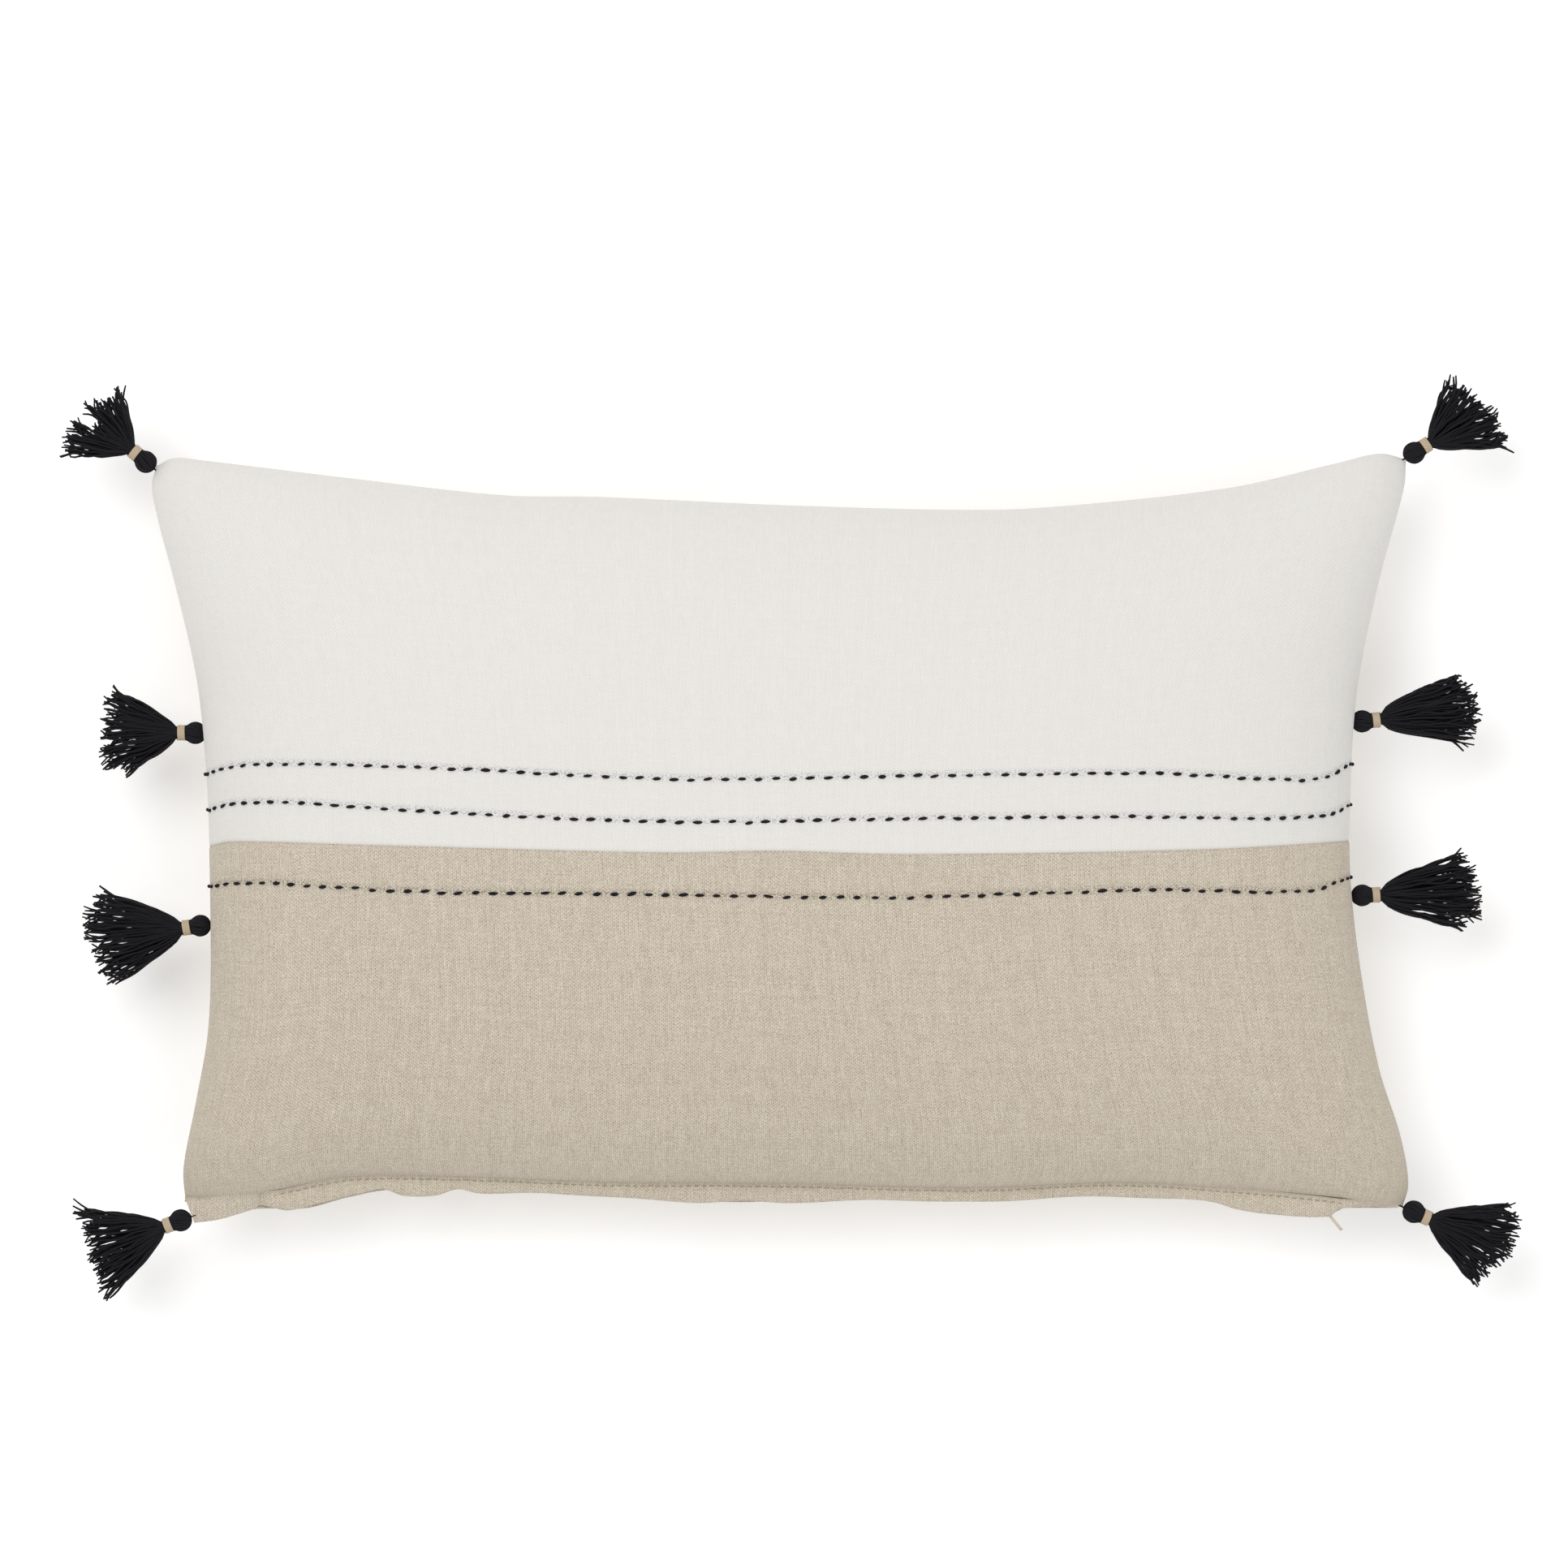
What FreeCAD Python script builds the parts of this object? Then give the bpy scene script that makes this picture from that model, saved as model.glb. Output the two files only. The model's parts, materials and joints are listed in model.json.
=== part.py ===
"""A rectangular throw pillow that lies on its back: a two-cloth front with hand running stitch,
a concealed zip along the bottom edge, a filled insert, and four tassels down each short side.

Millimetres. The front faces +Z, the top edge is towards +Y, and the origin is the centre of the
flat on which the back rests."""

import FreeCAD, Part
import math
import os

from FreeCAD import Vector

# Cover
SEAM_Z = 48.0  # height of the seam between front and back above the resting flat
CROWN = 60.0  # how far the front and back swell from the seam plane
CLOTH = 0.8
SIDE_FULLNESS = 5.0  # exponent of the swell across the width: flat middle, steep sides
TOP_FULLNESS = 2.6  # exponent of the swell across the height: rounder
COLOUR_SEAM_Y = -5.5  # where the white cloth meets the linen

# The seam outline, as points that a smooth curve joins. Each side pulls in between its corners.
TOP_EDGE = [(-270, 158), (-209, 156.5), (-117, 147), (0, 142), (105, 140.5), (202, 151), (268.5, 162.5)]
BOTTOM_EDGE = [(-254, -164), (-225, -155), (-180, -147.5), (-60, -149.5), (80, -151.5), (268, -160)]
LEFT_EDGE = [(-164, -254), (-120, -251), (-86, -246.5), (-20, -245.5), (45, -247.5), (113, -261),
             (158, -270)]
RIGHT_EDGE = [(-160, 268), (-97, 258), (-28, 245.5), (45, 245), (124, 260), (162.5, 268.5)]

# Insert
INSERT_INSET = 4.0
INSERT_BOTTOM_INSET = 15.0  # leaves room for the zip
INSERT_SKIN = 0.5
INSERT_GAP = 0.3  # between the cover's cloth, the insert's skin and the fibre

# Zip
ZIP_LEFT = -225.0
ZIP_RIGHT = 239.0
LIP_EDGE = [(-226, -160), (-199, -160), (-171, -152.6), (-138, -152.4), (-67, -156), (0, -158),
            (87, -157.5), (150, -155.4), (208, -160.5), (239, -162)]
LIP_GAP = 3.1  # from the seam plane to the inner face of each lip
LIP_THICK = 1.0
LIP_ROOT = 0.6  # how far a lip runs into the cloth that it is folded from
TAPE_THICK = 0.5
TAPE_Y = -150.0  # outer face of the tapes at the chain
TAPE_REACH = 6.0  # how far the tapes run into the cover
TAPE_HALF_GAP = 0.2
TAPE_FOLD_Z = 2.95
COIL_THICK = 1.5
COIL_HALF_GAP = 0.1
CHAIN_LEFT = -218.0
SLIDER_X = 227.5
SLIDER_LENGTH = 8.4
SLIDER_HALF_WIDTH = 2.5
SLIDER_POST_HALF = 0.7
PLATE_THICK = 1.0
PLATE_GAP = 0.3
BRIDGE_RISE = 3.0
BRIDGE_THICK = 0.8
BRIDGE_INSET = 0.5  # from the plates' ends to the bridge's feet
PIVOT_OFFSET = 2.5  # from the tapes' outer face out to the pull tab's pivot
TAB_LENGTH = 22.5
TAB_WIDTH = 4.0
TAB_THICK = 1.3
TAB_ANGLE = -51.0
TAB_WINDOW = (0.5, 5.0, 1.0)  # the opening round the bridge: start, end, half width
TAB_EYE = (16.0, 19.5, 0.9)  # the hole at the free end
STOP_LENGTH = 2.0

# Thread
STITCH_PITCH = 7.35
STITCH_LENGTH = 3.7
STITCH_WIDTH = 1.4
STITCH_THICK = 0.5
STITCH_LIFT = 0.1
STITCH_ROWS = {"upper": 26.5, "middle": 8.5, "lower": -24.0}  # height of each row on the front
TOPSTITCH_PITCH = 3.4
TOPSTITCH_LENGTH = 2.4

# Tassels: all share one design; the list gives each one's place, direction and spread.
HINGE_OFFSET = 1.2  # from the seam out to the stitch that a loop turns on
LOOP_LENGTH = 2.4
LOOP_RADIUS = 0.75  # half the loop's width
LOOP_END = 0.6  # the straight stretch across its outer end
LOOP_THREAD = 0.3
ANCHOR_THREAD = 0.35
ANCHOR_HALF_HEIGHT = 1.0
ANCHOR_LEG = 3.0
HEAD_RADIUS = 4.5
HEAD_OFFSET = 0.85  # from the loop's outer end to the head's centre
SLOT_HALF_ANGLE = 64.0
SLOT_HALF_WIDTH = 1.3
SLOT_DEPTH = 0.5  # how far the slot runs past the loop's outer end
FOLD_OFFSET = 0.7  # from the loop's outer end back to the strands folded through it
FOLD_RADIUS = 0.35
FOLD_REACH = 2.8
NECK_RADIUS = 2.95
BINDING_START = 4.1  # from the head's centre
BINDING_LENGTH = 3.9
BINDING_OUTER = 3.4
BINDING_GAP = 0.05
NECK_OVERLAP = 0.8  # how far the neck runs into the head and into the skirt
SKIRT_HALF_THICK = 5.0
SKIRT_SECTIONS = [(0, 0, 0), (0.35, 0.42, 0.7), (0.75, 0.86, 1), (1, 1, 1)]  # along, width, thickness
TASSELS = {  # name: (height on the side seam, direction in degrees, skirt length, half width at the tip)
    "top_left": (LEFT_EDGE[-1][0], 140, 32, 18),
    "upper_left": (44.5, 180, 32, 17),
    "lower_left": (-38, 188, 38, 18),
    "bottom_left": (LEFT_EDGE[0][0], 200, 40, 18),
    "top_right": (RIGHT_EDGE[-1][0], 32, 34, 18),
    "upper_right": (49, 5, 39, 14),
    "lower_right": (-26, 3, 41, 15),
    "bottom_right": (RIGHT_EDGE[0][0], -24, 37, 18),
}

X = Vector(1, 0, 0)
Y = Vector(0, 1, 0)
Z = Vector(0, 0, 1)


def smooth(points, at):
    """The height at `at` of a smooth curve through points given as (along, height)."""
    last = len(points) - 2
    i = 0
    while i < last and at > points[i + 1][0]:
        i += 1
    (a, low), (b, high) = points[i], points[i + 1]

    def slope(k):
        before = points[max(k - 1, 0)]
        after = points[min(k + 1, len(points) - 1)]
        return (after[1] - before[1]) / (after[0] - before[0])

    span = b - a
    t = min(max((at - a) / span, 0.0), 1.0)
    rise = (t * t * (3 - 2 * t)) * (high - low)
    start = t * (1 - t) ** 2 * span * slope(i)
    end = t * t * (t - 1) * span * slope(i + 1)
    return low + rise + start + end


def plan(u, v, inset, bottom_inset):
    """The place in plan of (u, v), which run from -1 to 1 across and up the pillow."""
    s = (u + 1) / 2
    t = (v + 1) / 2
    y_left = LEFT_EDGE[0][0] + t * (LEFT_EDGE[-1][0] - LEFT_EDGE[0][0])
    y_right = RIGHT_EDGE[0][0] + t * (RIGHT_EDGE[-1][0] - RIGHT_EDGE[0][0])
    left = smooth(LEFT_EDGE, y_left) + inset
    right = smooth(RIGHT_EDGE, y_right) - inset
    x_bottom = BOTTOM_EDGE[0][0] + s * (BOTTOM_EDGE[-1][0] - BOTTOM_EDGE[0][0])
    x_top = TOP_EDGE[0][0] + s * (TOP_EDGE[-1][0] - TOP_EDGE[0][0])
    low = smooth(BOTTOM_EDGE, x_bottom) + bottom_inset
    high = smooth(TOP_EDGE, x_top) - inset
    return left + s * (right - left), low + t * (high - low)


def swell(u, v):
    """The share of the crown at (u, v): 0 along the seam, 1 in the middle."""
    across = max(1 - abs(u) ** SIDE_FULLNESS, 0)
    up = max(1 - abs(v) ** TOP_FULLNESS, 0)
    return math.sqrt(across * up)


def surface_point(u, v):
    """A point on the outer face of the front."""
    x, y = plan(u, v, 0, 0)
    return Vector(x, y, SEAM_Z + CROWN * swell(u, v))


def face_of(side, inset, bottom_inset):
    """One outer face of the pillow, drawn in by inset. side is 1 for the front, -1 for the back."""
    across_steps = 20
    up_steps = 16
    rows = []
    for i in range(across_steps + 1):
        u = math.sin(math.pi * (i / across_steps - 0.5))
        row = []
        for j in range(up_steps + 1):
            v = math.sin(math.pi * (j / up_steps - 0.5))
            x, y = plan(u, v, inset, bottom_inset)
            on_seam = i in (0, across_steps) or j in (0, up_steps)
            lift = 0 if on_seam else (CROWN - inset) * swell(u, v)
            row.append(Vector(x, y, SEAM_Z + side * lift))
        rows.append(row)
    surface = Part.BSplineSurface()
    surface.interpolate(rows)
    return surface.toShape()


def closed(faces):
    """The solid inside faces that share their rims."""
    shell = Part.Shell(faces)
    shell.sewShape()
    solid = Part.Solid(shell)
    if solid.Volume < 0:
        solid.reverse()
    return solid


def half(side, inset, bottom_inset=None):
    """The solid between the seam plane and one face of the pillow."""
    bottom_inset = inset if bottom_inset is None else bottom_inset
    face = face_of(side, inset, bottom_inset)
    rim = [edge.Curve.toShape(edge.FirstParameter, edge.LastParameter) for edge in face.Edges]
    base = Part.Face(Part.Wire(Part.__sortEdges__(rim)))
    return closed([face, base])


def block(x0, x1, y0, y1, z0, z1):
    return Part.makeBox(x1 - x0, y1 - y0, z1 - z0, Vector(x0, y0, z0))


def above(solid, height):
    """What is left of a solid over a level."""
    return solid.common(block(-400, 400, -400, 400, height, 400))


def zip_opening():
    return block(ZIP_LEFT, ZIP_RIGHT, -200, -140, SEAM_Z - LIP_GAP, SEAM_Z + LIP_GAP)


def lip(side):
    """The folded edge of one panel, which stands out past the seam and hides the zip."""
    steps = 30
    stations = [ZIP_LEFT + i * (ZIP_RIGHT - ZIP_LEFT) / steps for i in range(steps + 1)]
    inner = [Vector(x, smooth(BOTTOM_EDGE, x) + LIP_ROOT, 0) for x in stations]
    outer = [Vector(x, smooth(LIP_EDGE, x), 0) for x in stations]
    inner_curve = Part.BSplineCurve()
    inner_curve.interpolate(inner)
    outer_curve = Part.BSplineCurve()
    outer_curve.interpolate(outer)
    edges = [
        inner_curve.toShape(),
        Part.makeLine(inner[-1], outer[-1]),
        outer_curve.toShape(),
        Part.makeLine(outer[0], inner[0]),
    ]
    face = Part.Face(Part.Wire(Part.__sortEdges__(edges)))
    start = LIP_GAP if side > 0 else -LIP_GAP - LIP_THICK
    face.translate(Vector(0, 0, SEAM_Z + start))
    return face.extrude(Z * LIP_THICK)


def front_panels():
    shell = half(1, 0).cut(half(1, CLOTH)).cut(zip_opening())
    white = shell.common(block(-400, 400, COLOUR_SEAM_Y, 400, 0, 400))
    linen = shell.common(block(-400, 400, -400, COLOUR_SEAM_Y, 0, 400))
    return white, linen.fuse(lip(1)).removeSplitter()


def back_panel():
    outside = above(half(-1, 0), 0)
    inside = above(half(-1, CLOTH), CLOTH)
    shell = outside.cut(inside).cut(zip_opening())
    return shell.fuse(lip(-1)).removeSplitter()


def insert_panel(side):
    """The insert's lining bag is two panels that meet in the seam plane."""
    skin = INSERT_SKIN
    outside = half(side, INSERT_INSET, INSERT_BOTTOM_INSET)
    inside = half(side, INSERT_INSET + skin, INSERT_BOTTOM_INSET + skin)
    rest = CLOTH + INSERT_GAP
    return above(outside, rest).cut(above(inside, rest + skin))


def fibre_fill():
    inset = INSERT_INSET + INSERT_SKIN + INSERT_GAP
    bottom = INSERT_BOTTOM_INSET + INSERT_SKIN + INSERT_GAP
    whole = closed([face_of(1, inset, bottom), face_of(-1, inset, bottom)])
    return above(whole, CLOTH + 2 * INSERT_GAP + INSERT_SKIN)


def flipped(shape):
    """The same shape mirrored in the seam plane."""
    return shape.mirror(Vector(0, 0, SEAM_Z), Z)


def zip_tape_front():
    """A woven tape: it faces outwards beside the chain, then folds in along the lip."""
    low = SEAM_Z + TAPE_HALF_GAP
    top = SEAM_Z + TAPE_FOLD_Z
    edge = block(ZIP_LEFT, ZIP_RIGHT, TAPE_Y, TAPE_Y + TAPE_THICK, low, top)
    inner = block(ZIP_LEFT, ZIP_RIGHT, TAPE_Y, TAPE_Y + TAPE_REACH, top - TAPE_THICK, top)
    room = SLIDER_POST_HALF + PLATE_GAP
    past_chain = block(chain_right(), ZIP_RIGHT, TAPE_Y - 1, TAPE_Y + 1, low - 1, SEAM_Z + room)
    return edge.fuse(inner).cut(past_chain).removeSplitter()


def chain_right():
    """The chain ends inside the slider, short of its post."""
    return SLIDER_X + 1.0


def zip_coil_front():
    """One side's nylon coil, as the rounded bar that its turns fill."""
    y = TAPE_Y + TAPE_THICK
    low = SEAM_Z + COIL_HALF_GAP
    bar = block(CHAIN_LEFT, chain_right(), y, y + COIL_THICK, low, low + COIL_THICK)
    inner_edges = [e for e in bar.Edges if abs(e.CenterOfMass.y - y - COIL_THICK) < 0.01]
    long_edges = [e for e in inner_edges if e.Length > COIL_THICK + 1]
    return bar.makeFillet(COIL_THICK * 0.4, long_edges)


def zip_end_stops():
    """A stop across both coils at the left end, and one on each tape past the slider."""
    y = TAPE_Y + TAPE_THICK
    reach = COIL_HALF_GAP + COIL_THICK
    left_end = CHAIN_LEFT - STOP_LENGTH
    left = block(left_end, CHAIN_LEFT, y, y + COIL_THICK, SEAM_Z - reach, SEAM_Z + reach)
    start = SLIDER_X + SLIDER_LENGTH / 2 + 0.4
    low = SEAM_Z + SLIDER_POST_HALF + PLATE_GAP
    right = block(start, start + STOP_LENGTH, y, y + COIL_THICK, low, SEAM_Z + 2.2)
    return Part.makeCompound([left, right, flipped(right)])


def zip_slider():
    """Two plates joined by a post, with a bridge that holds the pull tab."""
    x0 = SLIDER_X - SLIDER_LENGTH / 2
    x1 = SLIDER_X + SLIDER_LENGTH / 2
    z0 = SEAM_Z - SLIDER_HALF_WIDTH
    z1 = SEAM_Z + SLIDER_HALF_WIDTH
    outer_face = TAPE_Y - PLATE_GAP
    inner_face = TAPE_Y + TAPE_THICK + COIL_THICK + PLATE_GAP
    outer = block(x0, x1, outer_face - PLATE_THICK, outer_face, z0, z1)
    narrow = TAPE_FOLD_Z - TAPE_THICK - PLATE_GAP
    inner = block(x0, x1, inner_face, inner_face + PLATE_THICK, SEAM_Z - narrow, SEAM_Z + narrow)
    post_x = chain_right() + PLATE_GAP
    half_post = SLIDER_POST_HALF
    post = block(post_x, x1 - 1, outer_face, inner_face, SEAM_Z - half_post, SEAM_Z + half_post)
    top = outer_face - PLATE_THICK - BRIDGE_RISE
    left = x0 + BRIDGE_INSET
    right = x1 - BRIDGE_INSET
    low = SEAM_Z - half_post
    high = SEAM_Z + half_post
    beam = block(left, right, top, top + BRIDGE_THICK, low, high)
    foot = block(left, left + BRIDGE_THICK, top, outer_face - PLATE_THICK / 2, low, high)
    other_foot = foot.translated(X * (right - left - BRIDGE_THICK))
    return outer.multiFuse([inner, post, beam, foot, other_foot]).removeSplitter()


def pivot():
    return Vector(SLIDER_X, TAPE_Y - PIVOT_OFFSET, SEAM_Z)


def zip_pull_tab():
    """A flat tab with a rounded end; its crossbar lies under the slider's bridge."""
    half_width = TAB_WIDTH / 2
    half_thick = TAB_THICK / 2
    plate = block(0, TAB_LENGTH, -half_thick, half_thick, -half_width, half_width)
    corners = [e for e in plate.Edges if e.CenterOfMass.x > TAB_LENGTH - 0.01]
    ends = [e for e in corners if abs(e.CenterOfMass.z) > half_width - 0.01]
    plate = plate.makeFillet(half_width * 0.8, ends)
    for start, end, half_hole in (TAB_WINDOW, TAB_EYE):
        plate = plate.cut(block(start, end, -TAB_THICK, TAB_THICK, -half_hole, half_hole))
    crossbar = Part.makeCylinder(half_thick, TAB_WIDTH, Vector(0, 0, -half_width), Z)
    tab = plate.fuse(crossbar).removeSplitter()
    tab.rotate(Vector(0, 0, 0), Z, TAB_ANGLE)
    return tab.translated(pivot())


def solve_v(u, height):
    """The v at which column u of the front is at a height in plan."""
    low, high = -1.0, 1.0
    for _ in range(30):
        middle = (low + high) / 2
        if plan(u, middle, 0, 0)[1] < height:
            low = middle
        else:
            high = middle
    return (low + high) / 2


def stitch(middle, along, normal):
    """One visible stitch: a small bar that lies on the cloth."""
    side = normal.cross(along)
    half_length = STITCH_LENGTH / 2
    half_width = STITCH_WIDTH / 2
    bar = block(-half_length, half_length, -half_width, half_width, 0, STITCH_THICK)
    turn = FreeCAD.Matrix(
        along.x, side.x, normal.x, middle.x,
        along.y, side.y, normal.y, middle.y,
        along.z, side.z, normal.z, middle.z,
        0, 0, 0, 1)
    bar.Placement = FreeCAD.Placement(turn)
    return bar


def stitch_row(height):
    """A row of stitches at even steps along the cloth from side seam to side seam."""
    steps = 600
    path = []
    for i in range(steps + 1):
        u = math.sin(math.pi * (i / steps - 0.5))
        path.append((u, surface_point(u, solve_v(u, height))))
    stitches = []
    walked = 0.0
    wanted = STITCH_PITCH / 2
    for (u0, here), (u1, there) in zip(path, path[1:]):
        step = (there - here).Length
        if walked + step >= wanted and abs(u0) < 0.9995:
            middle = here + (there - here) * ((wanted - walked) / step)
            along = (there - here).normalize()
            v = solve_v(u0, height)
            up = (surface_point(u0, v + 0.01) - surface_point(u0, v - 0.01)).normalize()
            normal = along.cross(up).normalize()
            stitches.append(stitch(middle + normal * STITCH_LIFT, along, normal))
        if walked + step >= wanted:
            wanted += STITCH_PITCH
        walked += step
    return Part.makeCompound(stitches)


def zip_topstitch():
    """The short stitches that hold the front tape under its lip."""
    stitches = []
    z = SEAM_Z + LIP_GAP + LIP_THICK + 0.05
    count = int((ZIP_RIGHT - ZIP_LEFT) / TOPSTITCH_PITCH)
    for i in range(count):
        x = ZIP_LEFT + 1 + i * TOPSTITCH_PITCH
        y = smooth(BOTTOM_EDGE, x + TOPSTITCH_LENGTH / 2) - 1.3
        stitches.append(block(x, x + TOPSTITCH_LENGTH, y, y + 0.6, z, z + 0.3))
    return Part.makeCompound(stitches)


def tassel_place(name):
    """Where a tassel's loop is hinged, and its direction."""
    y, angle = TASSELS[name][:2]
    x = smooth(LEFT_EDGE if angle > 90 else RIGHT_EDGE, y)
    outwards = Vector(math.cos(math.radians(angle)), math.sin(math.radians(angle)), 0)
    return Vector(x, y, SEAM_Z) + outwards * HINGE_OFFSET, angle


def placed(shape, name):
    """Moves a tassel piece from its own frame, hinge at the origin and axis +X, to its place."""
    where, angle = tassel_place(name)
    moved = shape.copy()
    moved.rotate(Vector(0, 0, 0), Z, angle)
    return moved.translated(where)


def anchor_stitch():
    """A staple of thread: its bar stands upright in the loop and its legs run into the seam."""
    height = ANCHOR_HALF_HEIGHT
    leg = ANCHOR_LEG
    bar = Part.makeCylinder(ANCHOR_THREAD, 2 * height, Vector(0, 0, -height), Z)
    legs = [Part.makeCylinder(ANCHOR_THREAD, leg, Vector(0, 0, z), -X) for z in (-height, height)]
    ends = [Part.makeSphere(ANCHOR_THREAD, Vector(0, 0, z)) for z in (-height, height)]
    return bar.multiFuse(legs + ends).removeSplitter()


def hanging_loop():
    """A loop of thread from the anchor stitch to the head. Its outer end is straight across, and
    the folded strands turn on it."""
    half_width = LOOP_RADIUS
    bend = LOOP_RADIUS - LOOP_END / 2
    end = knot_x()
    near = bend * (1 - math.sqrt(0.5))
    path = Part.Wire([
        Part.makeLine(Vector(0, half_width, 0), Vector(end - bend, half_width, 0)),
        Part.Arc(Vector(end - bend, half_width, 0), Vector(end - near, half_width - near, 0),
                 Vector(end, half_width - bend, 0)).toShape(),
        Part.makeLine(Vector(end, half_width - bend, 0), Vector(end, bend - half_width, 0)),
        Part.Arc(Vector(end, bend - half_width, 0), Vector(end - near, near - half_width, 0),
                 Vector(end - bend, -half_width, 0)).toShape(),
        Part.makeLine(Vector(end - bend, -half_width, 0), Vector(0, -half_width, 0)),
        Part.Arc(Vector(0, -half_width, 0), Vector(-half_width, 0, 0),
                 Vector(0, half_width, 0)).toShape(),
    ])
    section = Part.Wire(Part.Circle(Vector(0, half_width, 0), X, LOOP_THREAD).toShape())
    return path.makePipeShell([section], True, False)


def knot_x():
    """Where the tassel turns on its loop: the loop's outer end."""
    return LOOP_LENGTH + LOOP_RADIUS


def head_x():
    return knot_x() + HEAD_OFFSET


def strand_bundle(length, half_width):
    """The strands: folded over the loop into a round head, bound at the neck, spread below."""
    centre = Vector(head_x(), 0, 0)
    head = Part.makeSphere(HEAD_RADIUS, centre)
    start = head_x() + BINDING_START
    neck_length = BINDING_LENGTH + 2 * NECK_OVERLAP
    neck = Part.makeCylinder(NECK_RADIUS, neck_length, Vector(start - NECK_OVERLAP, 0, 0), X)
    slot = loop_slot()
    fold_x = knot_x() - FOLD_OFFSET
    fold = Part.makeCylinder(FOLD_RADIUS, 2 * FOLD_REACH, Vector(fold_x, 0, -FOLD_REACH), Z)
    sections = []
    skirt_start = start + BINDING_LENGTH + 2 * BINDING_GAP
    for share, wide, thick in SKIRT_SECTIONS:
        half_w = NECK_RADIUS + wide * (half_width - NECK_RADIUS)
        half_t = NECK_RADIUS + thick * (SKIRT_HALF_THICK - NECK_RADIUS)
        sections.append(oval(skirt_start + share * length, half_w, half_t))
    skirt = Part.makeLoft(sections, True)
    return head.cut(slot).multiFuse([fold, neck, skirt]).removeSplitter()


def loop_slot():
    """The room in a head for its loop, over the whole range that the tassel swings up and down."""
    apex = knot_x() + SLOT_DEPTH
    spread = (apex + 1) * math.tan(math.radians(SLOT_HALF_ANGLE))
    corners = [Vector(apex, -SLOT_HALF_WIDTH, 0), Vector(-1, -SLOT_HALF_WIDTH, spread)]
    corners += [Vector(-1, -SLOT_HALF_WIDTH, -spread), corners[0]]
    return Part.Face(Part.makePolygon(corners)).extrude(Y * 2 * SLOT_HALF_WIDTH)


def oval(x, half_width, half_thick):
    """A closed oval across the tassel's axis."""
    if abs(half_width - half_thick) < 0.01:
        return Part.Wire(Part.Circle(Vector(x, 0, 0), X, half_width).toShape())
    ellipse = Part.Ellipse(Vector(x, half_width, 0), Vector(x, 0, half_thick), Vector(x, 0, 0))
    return Part.Wire(ellipse.toShape())


def neck_binding():
    """Thread wound round the neck, as one ring."""
    start = Vector(head_x() + BINDING_START, 0, 0)
    outer = Part.makeCylinder(BINDING_OUTER, BINDING_LENGTH, start, X)
    inner = Part.makeCylinder(NECK_RADIUS + BINDING_GAP, BINDING_LENGTH, start, X)
    ring = outer.cut(inner)
    rims = [e for e in ring.Edges if abs(e.Length - 2 * math.pi * BINDING_OUTER) < 0.01]
    return ring.makeFillet(0.3, rims)


def build():
    white, linen = front_panels()
    nodes = {
        "front_panel_white": white,
        "front_panel_linen": linen,
        "back_panel": back_panel(),
        "insert_panel_front": insert_panel(1),
        "insert_panel_back": insert_panel(-1),
        "fibre_fill": fibre_fill(),
        "zip_tape_front": zip_tape_front(),
        "zip_tape_back": flipped(zip_tape_front()),
        "zip_coil_front": zip_coil_front(),
        "zip_coil_back": flipped(zip_coil_front()),
        "zip_end_stops": zip_end_stops(),
        "zip_slider": zip_slider(),
        "zip_pull_tab": zip_pull_tab(),
        "zip_topstitch": zip_topstitch(),
    }
    for row, height in STITCH_ROWS.items():
        nodes[f"stitch_row_{row}"] = stitch_row(height)
    anchors = []
    for name, (_, _, length, half_width) in TASSELS.items():
        nodes[f"tassel_{name}_loop"] = placed(hanging_loop(), name)
        nodes[f"tassel_{name}_strands"] = placed(strand_bundle(length, half_width), name)
        nodes[f"tassel_{name}_binding"] = placed(neck_binding(), name)
        anchors.append(placed(anchor_stitch(), name))
    nodes["tassel_anchor_stitches"] = Part.makeCompound(anchors)
    return nodes


os.makedirs("parts", exist_ok=True)
for node, shape in build().items():
    shape.exportStep(f"parts/{node}.step")
    print(f"{node}: {len(shape.Solids)} solids, valid {shape.isValid()}, {shape.Volume:.0f} mm3")
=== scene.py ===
"""The looks of a rectangular throw pillow lying on its back: a white and linen front with hand running
stitch, a zip lip along the bottom and eight tassels. Lengths in this file are millimetres until a mesh is
made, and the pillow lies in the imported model's frame."""

import json
import math
import random

import bpy
import numpy as np
from mathutils import Matrix, Vector


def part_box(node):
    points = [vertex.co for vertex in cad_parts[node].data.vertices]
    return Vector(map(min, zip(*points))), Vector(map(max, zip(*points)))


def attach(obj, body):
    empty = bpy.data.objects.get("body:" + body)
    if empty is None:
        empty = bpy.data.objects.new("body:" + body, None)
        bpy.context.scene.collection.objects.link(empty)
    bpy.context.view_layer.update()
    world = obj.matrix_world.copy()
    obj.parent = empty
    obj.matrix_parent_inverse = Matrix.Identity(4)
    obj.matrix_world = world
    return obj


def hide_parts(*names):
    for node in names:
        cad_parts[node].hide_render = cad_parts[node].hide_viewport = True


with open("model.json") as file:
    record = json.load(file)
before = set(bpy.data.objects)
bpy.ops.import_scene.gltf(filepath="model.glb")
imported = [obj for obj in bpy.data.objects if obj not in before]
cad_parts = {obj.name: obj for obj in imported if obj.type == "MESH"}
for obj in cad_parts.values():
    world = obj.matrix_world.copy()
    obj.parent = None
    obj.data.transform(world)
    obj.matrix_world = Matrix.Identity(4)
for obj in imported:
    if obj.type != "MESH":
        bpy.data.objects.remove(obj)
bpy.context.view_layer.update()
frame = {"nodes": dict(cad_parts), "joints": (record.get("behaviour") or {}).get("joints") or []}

MM = 0.001

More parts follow.
